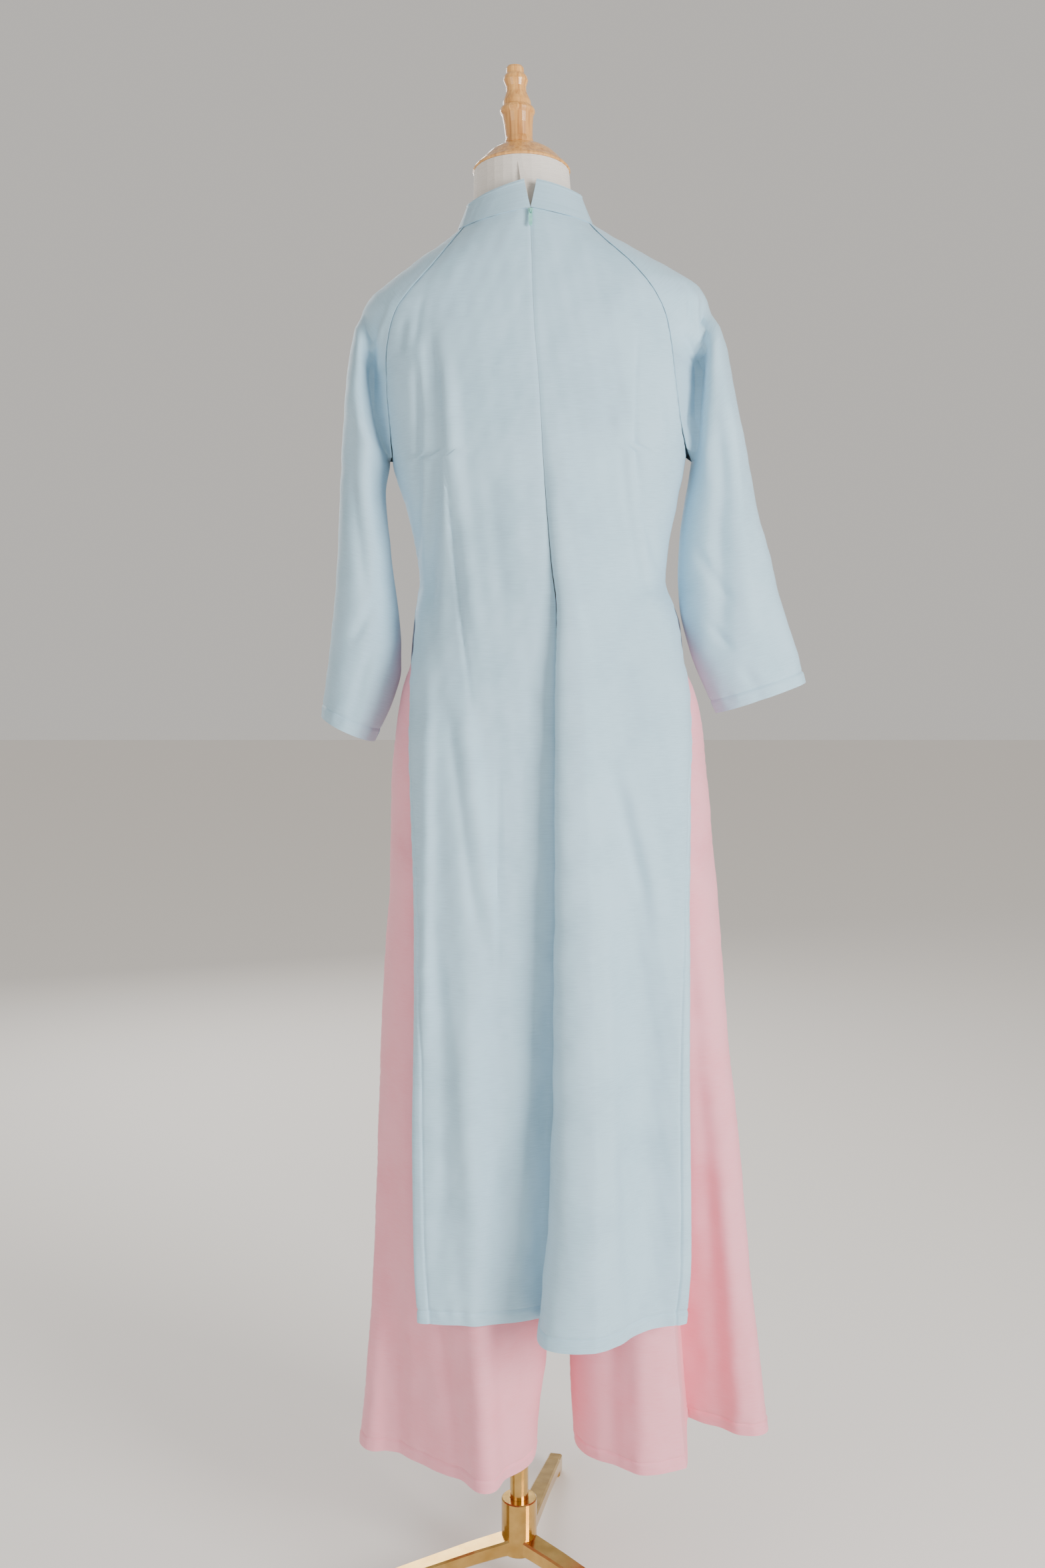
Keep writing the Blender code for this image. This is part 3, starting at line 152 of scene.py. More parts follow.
# The flaps below the slits: their two edges, how far back those hang, and the middle
BACK_FLAP = table(
    "height left right edge depth power",
    (1.1950, 0.1120, -0.1657, 0.0000, 0.1070, 2.2),
    (1.1700, 0.1155, -0.1755, 0.0040, 0.1085, 2.4),
    (1.1500, 0.1160, -0.1790, 0.0120, 0.1100, 2.5),
    (1.1200, 0.1175, -0.1820, 0.0280, 0.1120, 2.7),
    (1.0900, 0.1200, -0.1870, 0.0470, 0.1165, 3.0),
    (1.0350, 0.1205, -0.1890, 0.0670, 0.1215, 3.2),
    (0.9750, 0.1190, -0.1880, 0.0810, 0.1240, 3.2),
    (0.8500, 0.1150, -0.1870, 0.0930, 0.1230, 3.0),
    (0.7600, 0.1150, -0.1880, 0.0980, 0.1210, 3.0),
    (0.6700, 0.1165, -0.1885, 0.1010, 0.1200, 3.0),
    (0.5800, 0.1180, -0.1900, 0.1040, 0.1200, 3.0),
    (0.4500, 0.1170, -0.1920, 0.1070, 0.1200, 3.0),
    (0.3780, 0.1130, -0.1870, 0.1100, 0.1200, 3.0),
)
FRONT_FLAP = table(
    "height left right edge depth power",
    (1.1950, 0.1120, -0.1657, 0.0000, -0.1280, 2.2),
    (1.1500, 0.1200, -0.1840, -0.0150, -0.1300, 2.5),
    (1.0900, 0.1260, -0.1910, -0.0500, -0.1320, 3.0),
    (1.0350, 0.1250, -0.1920, -0.0690, -0.1340, 3.0),
    (0.9300, 0.1210, -0.1900, -0.0890, -0.1350, 3.0),
    (0.7600, 0.1180, -0.1900, -0.1020, -0.1350, 3.0),
    (0.5800, 0.1160, -0.1880, -0.1110, -0.1350, 3.0),
    (0.3780, 0.1150, -0.1880, -0.1190, -0.1360, 3.0),
)

# Where the raglan seams run on the body
RAGLAN = {
    1: table(
        "height x",
        (1.5830, 0.0605),
        (1.5620, 0.0760),
        (1.5410, 0.0922),
        (1.5080, 0.1210),
        (1.4920, 0.1322),
        (1.4670, 0.1405),
        (1.4420, 0.1440),
        (1.4130, 0.1440),
        (1.3800, 0.1420),
        (1.3350, 0.1388),
    ),
    -1: table(
        "height x",
        (1.5830, -0.0770),
        (1.5680, -0.0880),
        (1.5340, -0.1215),
        (1.5010, -0.1460),
        (1.4780, -0.1570),
        (1.4520, -0.1630),
        (1.4110, -0.1690),
        (1.3620, -0.1775),
        (1.3350, -0.1857),
    ),
}

# Centre back: the seam's line, and the deep fold that opens below the waist, where the
# right half stands out by rise, laps over the left by lean, and the seam sinks by dip
CENTRE_BACK = table(
    "height x rise lean dip place",
    (1.5900, -0.0124, 0.000, 0.0000, 0.000, 0.08),
    (1.4790, -0.0159, 0.000, 0.0000, 0.000, 0.08),
    (1.4050, -0.0216, 0.000, 0.0000, 0.000, 0.08),
    (1.3250, -0.0259, 0.004, 0.0010, 0.000, 0.08),
    (1.2180, -0.0345, 0.011, 0.0040, 0.001, 0.09),
    (1.1700, -0.0400, 0.016, 0.0070, 0.001, 0.09),
    (1.0350, -0.0405, 0.025, 0.0130, 0.001, 0.10),
    (0.8500, -0.0415, 0.036, 0.0165, 0.006, 0.12),
    (0.6700, -0.0400, 0.046, 0.0180, 0.014, 0.14),
    (0.5000, -0.0350, 0.060, 0.0210, 0.018, 0.16),
    (0.3780, -0.0290, 0.072, 0.0300, 0.020, 0.18),
)

def soft_folds(*rows):
    """Named values of the body's soft folds, which run straight from top to bottom."""
    columns = ("top", "bottom", "x_top", "x_bottom", "width", "depth")
    return [dict(zip(columns, row)) for row in rows]


BACK_FOLDS = soft_folds(
    (1.50, 1.20, 0.098, 0.096, 0.011, -0.0045),
    (1.47, 1.16, 0.080, 0.086, 0.012, 0.0060),
    (1.46, 1.17, -0.110, -0.150, 0.014, 0.0050),
    (1.12, 0.50, 0.062, 0.050, 0.022, 0.0080),
    (1.13, 0.70, 0.098, 0.104, 0.009, 0.0060),
    (0.90, 0.40, -0.120, -0.140, 0.022, -0.0080),
    (0.60, 0.36, 0.020, 0.010, 0.020, -0.0060),
)
FRONT_FOLDS = soft_folds(
    (1.30, 0.60, 0.060, 0.075, 0.020, -0.0080),
    (1.28, 0.55, -0.105, -0.130, 0.022, -0.0090),
    (0.95, 0.36, -0.030, -0.020, 0.030, -0.0160),
    (0.80, 0.36, 0.070, 0.060, 0.022, -0.0100),
    (0.80, 0.36, -0.110, -0.120, 0.024, -0.0120),
)

# Sleeves, keyed by the height of their inner edge: the outer edge stands rise higher
SLEEVES = {
    1: table(
        "height rise outer inner depth middle",
        (1.5830, 0.0045, 0.0700, 0.0500, 0.0500, 0.000),
        (1.5620, 0.0150, 0.1000, 0.0800, 0.0500, 0.000),
        (1.5410, 0.0240, 0.1350, 0.1200, 0.0500, 0.000),
        (1.5080, 0.0400, 0.1600, 0.1500, 0.0500, 0.000),
        (1.4920, 0.0460, 0.1680, 0.1620, 0.0500, 0.000),
        (1.4670, 0.0510, 0.1730, 0.1660, 0.0500, 0.000),
        (1.4420, 0.0530, 0.1770, 0.1650, 0.0500, 0.000),
        (1.4130, 0.0500, 0.1850, 0.1620, 0.0540, 0.000),
        (1.3800, 0.0440, 0.1915, 0.1600, 0.0575, 0.000),
        (1.3550, 0.0350, 0.1945, 0.1540, 0.0570, 0.000),
        (1.3350, 0.0280, 0.1970, 0.1445, 0.0550, 0.000),
        (1.3000, 0.0240, 0.1994, 0.1495, 0.0540, 0.000),
        (1.2410, 0.0240, 0.2024, 0.1456, 0.0520, 0.000),
        (1.1730, 0.0220, 0.2060, 0.1370, 0.0500, 0.000),
        (1.1340, 0.0210, 0.2106, 0.1340, 0.0500, 0.000),
        (1.1030, 0.0230, 0.2140, 0.1340, 0.0500, 0.000),
        (1.0700, 0.0280, 0.2180, 0.1425, 0.0500, 0.000),
        (1.0212, 0.0290, 0.2249, 0.1651, 0.0520, 0.000),
    ),
    -1: table(
        "height rise outer inner depth middle",
        (1.5830, 0.0060, -0.0850, -0.0600, 0.0500, 0.000),
        (1.5620, 0.0150, -0.1250, -0.1100, 0.0500, 0.000),
        (1.5340, 0.0260, -0.1700, -0.1600, 0.0500, 0.000),
        (1.5080, 0.0400, -0.1960, -0.1880, 0.0500, 0.000),
        (1.4920, 0.0460, -0.2040, -0.1970, 0.0500, 0.000),
        (1.4670, 0.0510, -0.2090, -0.2020, 0.0500, 0.002),
        (1.4420, 0.0530, -0.2150, -0.2030, 0.0500, 0.003),
        (1.4130, 0.0500, -0.2265, -0.2010, 0.0540, 0.004),
        (1.3800, 0.0440, -0.2370, -0.1985, 0.0540, 0.004),
        (1.3550, 0.0350, -0.2440, -0.1975, 0.0520, 0.003),
        (1.3350, 0.0280, -0.2510, -0.1935, 0.0500, 0.000),
        (1.3090, 0.0240, -0.2574, -0.1895, 0.0480, 0.000),
        (1.2490, 0.0220, -0.2710, -0.1810, 0.0440, 0.000),
        (1.2110, 0.0220, -0.2815, -0.1795, 0.0420, 0.000),
        (1.1760, 0.0250, -0.2900, -0.1815, 0.0400, 0.000),
        (1.1220, 0.0310, -0.3050, -0.1945, 0.0360, 0.000),
        (1.0532, 0.0350, -0.3264, -0.2245, 0.0320, 0.000),
    ),
}
SLEEVE_OFF_SHOULDER = 1.460
SLEEVE_HANGS = 1.425
SLEEVE_MIX_FROM = 0.84

# Trousers: hips, legs and the line where the two legs meet or part
TROUSERS = table(
    "height left right back front power",
    (1.1850, 0.1055, -0.1530, 0.0928, -0.1018, 2.2),
    (1.1500, 0.1105, -0.1612, 0.0948, -0.1018, 2.2),
    (1.1200, 0.1190, -0.1765, 0.1010, -0.1055, 2.2),
    (1.0840, 0.1310, -0.1965, 0.1080, -0.1105, 2.2),
    (1.0360, 0.1398, -0.2090, 0.1150, -0.1130, 2.2),
    (0.9900, 0.1445, -0.2140, 0.1190, -0.1130, 2.2),
    (0.9300, 0.1468, -0.2200, 0.1180, -0.1100, 2.2),
    (0.8550, 0.1485, -0.2270, 0.1040, -0.1030, 2.2),
    (0.7960, 0.1535, -0.2325, 0.0990, -0.1010, 2.2),
    (0.6900, 0.1600, -0.2426, 0.0930, -0.1000, 2.2),
    (0.5520, 0.1655, -0.2595, 0.0880, -0.0980, 2.2),
    (0.3950, 0.1725, -0.2754, 0.0860, -0.0960, 2.2),
    (0.2740, 0.1815, -0.2909, 0.0850, -0.0950, 2.2),
    (0.1850, 0.1903, -0.3015, 0.0850, -0.0950, 2.2),
)
INSEAM = table(
    "height left right",
    (1.1850, -0.0238, -0.0238),
    (1.0000, -0.0340, -0.0340),
    (0.9600, -0.0350, -0.0350),
    (0.9240, -0.0350, -0.0350),
    (0.8850, -0.0346, -0.0357),
    (0.8550, -0.0341, -0.0369),
    (0.7000, -0.0345, -0.0450),
    (0.4000, -0.0340, -0.0570),
    (0.3000, -0.0325, -0.0603),
    (0.2475, -0.0252, -0.0615),
    (0.1850, -0.0200, -0.0664),
)
# How far a leg's back and front panels are pushed, at places across it, growing downward
LEG_FOLDS = {
    ("back", 1): (
        dict(x=0.040, width=0.034, depth=0.040, top=0.70),
        dict(x=0.140, width=0.034, depth=-0.036, top=0.90),
    ),
    ("back", -1): (dict(x=-0.150, width=0.040, depth=0.016, top=0.80),),
    ("front", 1): (dict(x=0.070, width=0.040, depth=-0.020, top=0.60),),
    ("front", -1): (dict(x=-0.130, width=0.040, depth=-0.016, top=0.60),),
}
LEFT_SQUARE = 2.0
# The right leg's spare width swings forward at its side, behind a deep step in the back
WING = dict(top=0.98, side=-0.030, depth=-0.112, crest=0.40, step=0.065)

def settled(x, y, height):
    """A point of the upper body, let down a little at the wearer's left."""
    tilt = SHOULDER_TILT * smooth((height - SLIT_TOP) / (ARMPIT - SLIT_TOP))
    centre = read(FORM, "centre", height)
    return np.stack([x, y, height - tilt * (x - centre)], axis=-1)


def tunic_section(face, height):
    """The tunic's two sides, its edges' and middle's depth, and its roundness at a height."""
    flap = BACK_FLAP if face == "back" else FRONT_FLAP
    reach = 1 if face == "back" else -1
    centre = read(FORM, "centre", height)
    half = read(FORM, "half", height)
    upper = (
        centre + half + read(EASE, "left", height),
        centre - half - read(EASE, "right", height),
        np.zeros_like(height),
        read(FORM, face, height) + reach * read(EASE, face, height),
        read(FORM, "power", height),
    )
    lower = [read(flap, column, height) for column in ("left", "right", "edge", "depth", "power")]
    return [np.where(height >= SLIT_TOP, above, below) for above, below in zip(upper, lower)]


def on_section(sides, turn):
    """X and Y at an angle round a section: 0 is the left side and 180 degrees the right."""
    left, right, edge, depth, power = sides
    x = (left + right) / 2 + (left - right) / 2 * np.cos(turn)
    arch = (1 - np.minimum(np.abs(np.cos(turn)) ** power, 1.0)) ** (1 / power)
    return x, edge + (depth - edge) * arch


def turn_at(sides, x):
    left, right = sides[0], sides[1]
    return np.arccos(np.clip((2 * x - left - right) / (left - right), -1.0, 1.0))


def edge_turn(face, side, height):
    """The angle of the raglan seam, and below the armpit of the side seam or the slit."""
    at_side = 0.0 if side == 1 else math.pi
    on_raglan = turn_at(tunic_section(face, height), read(RAGLAN[side], "x", height))
    return np.where(height > ARMPIT, on_raglan, at_side)


def fold_push(folds, x, height):
    """How far soft folds push the cloth, from a table of where they run."""
    push = np.zeros_like(x)
    for fold in folds:
        along = (fold["top"] - height) / (fold["top"] - fold["bottom"])
        place = fold["x_top"] + (fold["x_bottom"] - fold["x_top"]) * np.clip(along, 0, 1)
        ends = smooth(along / 0.25) * smooth((1.15 - along) / 0.3)
        push += fold["depth"] * ends * np.exp(-(((x - place) / fold["width"]) ** 2))
    return push


def back_panel(side, across, down):
    """Back half: across is 0 at the side and 1 at centre back; down is the side's height."""
    rise = NECK_RISE_BACK * smooth((down - ARMPIT) / (NECKLINE - ARMPIT))
    height = down + rise * across
    seam = read(CENTRE_BACK, "x", down + rise)
    turn_side = edge_turn("back", side, down)
    turn_seam = turn_at(tunic_section("back", down + rise), seam)
    x, y = on_section(tunic_section("back", height), turn_side + (turn_seam - turn_side) * across)
    y = y + fold_push(BACK_FOLDS, x, height) * smooth(across / 0.15) * smooth((1 - across) / 0.1)
    inward = 1 - across
    y = y - read(CENTRE_BACK, "dip", height) * np.exp(-((inward / 0.12) ** 2))
    if side == -1:
        place = read(CENTRE_BACK, "place", height)
        swell = (inward / place * np.exp(1 - inward / place)) ** 1.5
        y = y + read(CENTRE_BACK, "rise", height) * swell
        lap = np.sin(math.pi * np.clip(inward / (1.2 * place), 0, 1))
        x = x + read(CENTRE_BACK, "lean", height) * lap
    return settled(x, y, height)


def front_panel(across, down):
    """Whole front: across is 0 at the wearer's left side and 1 at the right."""
    drop = NECK_DROP_FRONT * smooth((down - ARMPIT) / (NECKLINE - ARMPIT))
    height = down - drop * (1 - (2 * across - 1) ** 2)
    turn_left = edge_turn("front", 1, down)
    turn_right = edge_turn("front", -1, down)
    x, y = on_section(
        tunic_section("front", height), turn_left + (turn_right - turn_left) * across
    )
    y = y + fold_push(FRONT_FOLDS, x, height) * smooth(across / 0.1) * smooth((1 - across) / 0.1)
    return settled(x, y, height)


def raglan_point(face, side, height):
    x, y = on_section(tunic_section(face, height), edge_turn(face, side, height))
    return settled(x, y, height)


def sleeve(side, around, down):
    """Sleeve: around runs from -1 at the back seam over the shoulder to 1 at the front."""
    rows = SLEEVES[side]
    rise = read(rows, "rise", down)
    outer = read(rows, "outer", down)
    inner = read(rows, "inner", down)
    share = np.abs(around)
    turn = math.pi * share
    y = read(rows, "middle", down) - np.sign(around) * read(rows, "depth", down) * np.sin(turn)
    x = (outer + inner) / 2 + (outer - inner) / 2 * np.cos(turn)
    tube = np.stack([x, y, down + rise * (1 + np.cos(turn)) / 2], axis=-1)

    points = []
    for face in ("back", "front"):
        seam = raglan_point(face, side, down)
        seam[..., 0] += side * ARMPIT_CLEAR * smooth((1.375 - down) / 0.025)
        mix = smooth((share - SLEEVE_MIX_FROM) / (1 - SLEEVE_MIX_FROM))
        mix = np.where(down > ARMPIT, mix, 0.0)[..., None]
        hanging = tube + mix * (seam - tube)
        height = down + rise * (1 - share**1.5)
        section = tunic_section(face, height)
        at_side = 0.0 if side == 1 else math.pi
        seam_turn = edge_turn(face, side, down)
        x, y = on_section(section, at_side + (seam_turn - at_side) * share**0.9)
        lying = settled(x, y, height)
        off = 1 - smooth((down - SLEEVE_HANGS) / (SLEEVE_OFF_SHOULDER - SLEEVE_HANGS))
        points.append(lying + off[..., None] * (hanging - lying))
    return np.where((around < 0)[..., None], points[0], points[1])


def leg_panel(face, side, across, down):
    """A trouser panel: across is 0 at the side seam and 1 at centre or inseam."""
    name = "left" if side == 1 else "right"
    outer = read(TROUSERS, name, down)
    inner = read(INSEAM, name, down)
    parted = smooth((CROTCH_START - down) / (CROTCH_START - CROTCH))
    end = math.pi / 2 * (1 + parted)
    turn = end * across
    square = LEFT_SQUARE * smooth((CROTCH - down) / (CROTCH - TROUSER_HEM)) * (side == 1)
    power = read(TROUSERS, "power", down) + np.where(turn > math.pi / 2, square, 0.0)
    x = outer + (inner - outer) * (1 - np.cos(turn)) / (1 - np.cos(end))
    arch = (1 - np.minimum(np.abs(np.cos(turn)) ** power, 1.0)) ** (1 / power)
    y = read(TROUSERS, face, down) * arch
    if side == -1:
        grown = smooth((WING["top"] - down) / (WING["top"] - TROUSER_HEM))
        y = y + WING["side"] * grown * (1 + np.cos(turn)) / 2
        share = (outer - x) / (outer - inner)
        step = 1 - smooth((share - WING["crest"]) / WING["step"])
        swing = WING["depth"] if face == "back" else 0.0
        y = y + swing * grown * share / WING["crest"] * step
    at_edges = smooth(across / 0.12) * smooth((1 - across) / 0.15)
    for fold in LEG_FOLDS[face, side]:
        grown = smooth((fold["top"] - down) / (fold["top"] - TROUSER_HEM))
        shape = np.exp(-(((x - fold["x"]) / fold["width"]) ** 2))
        y = y + fold["depth"] * grown * shape * at_edges
    return np.stack([x, y, down], axis=-1)


def waistband_panel(around, down):
    """The band round the waist, closed at the wearer's left side."""
    turn = 2 * math.pi * around
    back = np.sin(turn) >= 0
    points = []
    for face in ("back", "front"):
        left = read(TROUSERS, "left", down)
        right = read(TROUSERS, "right", down)
        depth = read(TROUSERS, face, down)
        power = read(TROUSERS, "power", down)
        points.append(on_section((left, right, np.zeros_like(left), depth, power), turn))
    x = np.where(back, points[0][0], points[1][0])
    y = np.where(back, points[0][1], points[1][1])
    return np.stack([x, y, down], axis=-1)


def finer(stations, step, kept=()):
    """Adds stations between the given ones, at most step apart, but none in a kept gap."""
    made = [stations[0]]
    for near, far in zip(stations[:-1], stations[1:]):
        parts = 1 if (near, far) in kept else math.ceil(abs(far - near) / step - 1e-9)
        made += [near + (far - near) * (part + 1) / parts for part in range(parts)]
    return np.array(made)


# Where the pieces have points, across and round them
LEFT_ACROSS = np.linspace(0.0, 1.0, 71)
RIGHT_ACROSS = finer((0.0, 0.5, 0.8, 0.9, 1.0), 0.011)
FRONT_ACROSS = np.linspace(0.0, 1.0, 101)
LEG_ACROSS = np.linspace(0.0, 1.0, 71)
WING_ACROSS = finer((0.0, 0.35), 0.012), np.linspace(0.35, 0.53, 28), finer((0.53, 1.0), 0.012)
WING_ACROSS = np.unique(np.concatenate(WING_ACROSS))
HALF_AROUND = np.linspace(0.0, 1.0, 42)
AROUND = np.concatenate([-HALF_AROUND[:0:-1], HALF_AROUND])


def neckline():
    """The line that the collar is sewn to, from centre back round the left to centre back."""

    def top(stations):
        return np.full_like(stations, NECKLINE)

    pieces = (
        back_panel(1, LEFT_ACROSS[::-1], top(LEFT_ACROSS)),
        sleeve(1, AROUND, top(AROUND)),
        front_panel(FRONT_ACROSS, top(FRONT_ACROSS)),
        sleeve(-1, AROUND[::-1], top(AROUND)),
        back_panel(-1, RIGHT_ACROSS, top(RIGHT_ACROSS)),
    )
    return np.concatenate([piece[:-1] for piece in pieces[:-1]] + [pieces[-1]])


NECK_LOOP = neckline()
NECK_RUN = np.concatenate([[0], np.cumsum(np.linalg.norm(np.diff(NECK_LOOP, axis=0), axis=1))])
COLLAR_OPENING = 0.0072
COLLAR_LEAN = 0.0045
COLLAR_SIDE_LEAN = 0.0065
COLLAR_RIGHT_LEAN = 0.0050
COLLAR_LIFT = 0.0002


def collar_panel(around, up):
    """Standing collar: up is 0 at its seam and 1 at its top, and its ends part in a V."""
    start = SEAM_GAP / 2 + COLLAR_OPENING * up
    run = start + (NECK_RUN[-1] - 2 * start) * around
    run = np.where((around > 0) & (around < 1) & (up == 0), NECK_RUN[-1] * around, run)
    foot = np.stack([np.interp(run, NECK_RUN, NECK_LOOP[:, axis]) for axis in range(3)], axis=-1)
    centre = np.array([read(FORM, "centre", NECKLINE), 0.0, 0.0])
    out = (foot - centre) * np.array([1.0, 1.0, 0.0])
    out = out / np.linalg.norm(out, axis=-1, keepdims=True)
    side = np.sin(2 * math.pi * around)
    fall = 1 - 0.19 * np.sin(math.pi * around) - 0.08 * side
    lift = COLLAR_LIFT + COLLAR_HEIGHT * up * fall
    lean = COLLAR_LEAN + COLLAR_SIDE_LEAN * side**2 + COLLAR_RIGHT_LEAN * np.clip(-side, 0, 1)
    lean = lean * up
    return foot - out * lean[..., None] + np.stack([0 * up, 0 * up, lift], axis=-1)


def fold(width, depth, *points):
    """A fold along (height, x) points: its half width, and how far out it stands, in mm."""
    return dict(line=table("height x", *points), width=width / 1000, depth=depth / 1000)


BACK_CREASES = (
    fold(
        2.2, -2.2,
        (1.482, 0.0955), (1.421, 0.0888), (1.351, 0.0809), (1.209, 0.0682), (1.04, 0.0468),
    ),
    fold(7, -4.5, (1.47, 0.095), (1.373, 0.0862), (1.293, 0.0895), (1.213, 0.0985), (1.12, 0.097)),
    fold(6, 3.4, (1.47, 0.107), (1.373, 0.0985), (1.293, 0.101), (1.213, 0.109)),
    fold(5, -3.4, (1.44, 0.109), (1.373, 0.108), (1.28, 0.11), (1.2, 0.112)),
    fold(9, 3.6, (1.44, 0.074), (1.34, 0.069), (1.23, 0.056), (1.12, 0.044)),
    fold(5, -2, (1.504, 0.1029), (1.448, 0.1117)),
    fold(5, -2, (1.481, 0.1232), (1.441, 0.1264)),
    fold(2.2, -1.6, (1.47, -0.1286), (1.44, -0.126), (1.37, -0.124), (1.3, -0.128)),
    fold(5, -3.4, (1.38, -0.121), (1.29, -0.133), (1.205, -0.1569)),
    fold(6, -3, (1.37, -0.106), (1.27, -0.117), (1.18, -0.14)),
    fold(9, 2.6, (1.4, -0.102), (1.252, -0.121), (1.19, -0.147)),
    fold(11, 3, (1.42, -0.144), (1.33, -0.15), (1.25, -0.16)),
    fold(9, -2, (1.3, -0.05), (1.2, -0.064), (1.12, -0.09)),
    fold(11, -1.8, (1.33, 0.03), (1.23, 0.022), (1.15, 0.01)),
    fold(10, 3.8, (1.1, 0.064), (0.93, 0.0421), (0.779, 0.0222)),
    fold(7, -3.2, (1.08, 0.078), (0.93, 0.059), (0.8, 0.042)),
    fold(3, -1.6, (1.02, 0.0218), (0.9, 0.0225), (0.76, 0.0222)),
    fold(10, -3, (0.84, 0.09), (0.62, 0.082), (0.42, 0.09)),
    fold(12, 3.4, (0.76, 0.062), (0.56, 0.056), (0.382, 0.05)),
    fold(9, -4.6, (1.02, -0.096), (0.93, -0.118), (0.85, -0.14)),
    fold(11, 3.6, (1.000, -0.118), (0.9, -0.14), (0.82, -0.156)),
    fold(26, -6, (0.8, -0.147), (0.6, -0.15), (0.37, -0.152)),
    fold(10, 3, (0.9, -0.09), (0.65, -0.098), (0.39, -0.106)),
    fold(8, -2.4, (0.6, -0.112), (0.48, -0.12), (0.382, -0.126)),
)
FRONT_CREASES = (
    fold(2, -1, (1.33, 0.072), (1.24, 0.07), (1.11, 0.064)),
    fold(2, -1, (1.33, -0.115), (1.24, -0.113), (1.11, -0.108)),
    fold(2, -1, (1.352, 0.13), (1.334, 0.1), (1.318, 0.08)),
    fold(2, -1, (1.35, -0.17), (1.333, -0.144), (1.318, -0.124)),
    fold(9, -2.8, (1.42, 0.115), (1.35, 0.1), (1.28, 0.106)),
    fold(10, 3, (1.3, 0.045), (1.2, 0.033), (1.11, 0.026)),
    fold(9, -2.6, (1.4, -0.15), (1.32, -0.138), (1.25, -0.145)),
    fold(11, 3, (1.26, -0.05), (1.15, -0.064), (1.02, -0.07)),
    fold(10, -3.6, (1.08, 0.09), (0.93, 0.078), (0.8, 0.06)),
    fold(12, 3.8, (1.02, -0.13), (0.85, -0.12), (0.7, -0.1)),
    fold(11, -3.8, (0.9, -0.07), (0.65, -0.066), (0.4, -0.06)),
    fold(14, 4.4, (0.85, 0.03), (0.6, 0.026), (0.382, 0.018)),
    fold(10, -3, (0.64, 0.1), (0.5, 0.094), (0.385, 0.09)),
)
SLEEVE_CREASES = {
    1: (
        fold(5.5, 3, (1.51, 0.129), (1.476, 0.1428), (1.46, 0.1499), (1.42, 0.149)),
        fold(6, -3, (1.5, 0.138), (1.46, 0.16), (1.4, 0.162)),
        fold(9, -4, (1.42, 0.176), (1.34, 0.186), (1.25, 0.176), (1.16, 0.165)),
        fold(8, 2.8, (1.4, 0.164), (1.3, 0.166), (1.2, 0.156)),
        fold(6, -3, (1.19, 0.15), (1.16, 0.17), (1.13, 0.188)),
        fold(7, -2.8, (1.14, 0.156), (1.1, 0.172), (1.04, 0.186)),
    ),
    -1: (
        fold(6, -7, (1.512, -0.203), (1.45, -0.1985), (1.392, -0.1935), (1.342, -0.188)),
        fold(6, 4, (1.5, -0.213), (1.39, -0.208), (1.3, -0.204)),
        fold(
            10, -4.8,
            (1.4, -0.214), (1.309, -0.223), (1.253, -0.2214), (1.189, -0.2258), (1.1, -0.225),
        ),
        fold(9, 3.4, (1.43, -0.222), (1.3, -0.24), (1.2, -0.252), (1.12, -0.268)),
        fold(4.5, -3.4, (1.155, -0.21), (1.14, -0.225), (1.124, -0.24)),
        fold(6, -3, (1.24, -0.195), (1.205, -0.215), (1.175, -0.24)),
        fold(4, -2.6, (1.525, -0.18), (1.49, -0.186), (1.44, -0.18)),
        fold(5, 2.8, (1.52, -0.188), (1.48, -0.193), (1.43, -0.188)),
        fold(8, -3, (1.11, -0.25), (1.08, -0.266), (1.056, -0.274)),
    ),
}
LEG_CREASES = {
    ("back", 1): (
        fold(10, -5, (0.42, 0.096), (0.361, 0.09), (0.213, 0.0683)),
        fold(8, -4, (0.42, 0.028), (0.361, 0.0229), (0.2, 0.0118)),
        fold(12, 5, (0.44, 0.056), (0.3, 0.044), (0.188, 0.034)),
        fold(11, 3.6, (0.7, 0.13), (0.45, 0.126), (0.2, 0.124)),
        fold(9, -3.2, (0.6, 0.15), (0.4, 0.156), (0.2, 0.16)),
    ),
    ("back", -1): (
        fold(10, -3.4, (0.6, -0.1), (0.4, -0.104), (0.2, -0.108)),
        fold(12, 4, (0.65, -0.13), (0.4, -0.135), (0.19, -0.14)),
        fold(11, -3.4, (0.9, -0.18), (0.6, -0.21), (0.25, -0.24)),
        fold(10, 3.4, (0.56, -0.23), (0.4, -0.248), (0.22, -0.264)),
    ),
    ("front", 1): (
        fold(11, -4.4, (0.9, 0.09), (0.6, 0.096), (0.22, 0.1)),
        fold(12, 4.4, (0.6, 0.04), (0.4, 0.036), (0.2, 0.03)),
        fold(10, -3.6, (0.44, 0.136), (0.3, 0.146), (0.19, 0.15)),
    ),
    ("front", -1): (
        fold(11, -4.4, (0.9, -0.15), (0.6, -0.16), (0.22, -0.17)),
        fold(12, 4.4, (0.6, -0.095), (0.4, -0.1), (0.2, -0.108)),
        fold(10, -3.6, (0.44, -0.21), (0.3, -0.226), (0.19, -0.236)),
    ),
}


# Stitching: how deep and wide its lines lie, and the small puckers that it draws up
SEAM_DEPTH, SEAM_WIDTH = 0.0008, 0.0022
SEAM_PUCKER, SEAM_PUCKER_RUN = 0.00035, 0.0135
HEM_DEPTH, HEM_WIDTH, HEM_FULLNESS = 0.0010, 0.0016, 0.0005
HEM_PUCKER, HEM_PUCKER_RUN = 0.00045, 0.021
OVER_HEIGHT, OVER_WIDTH, OVER_IN = 0.0006, 0.0022, 0.0018
TOP_DEPTH, TOP_WIDTH = 0.0006, 0.0008

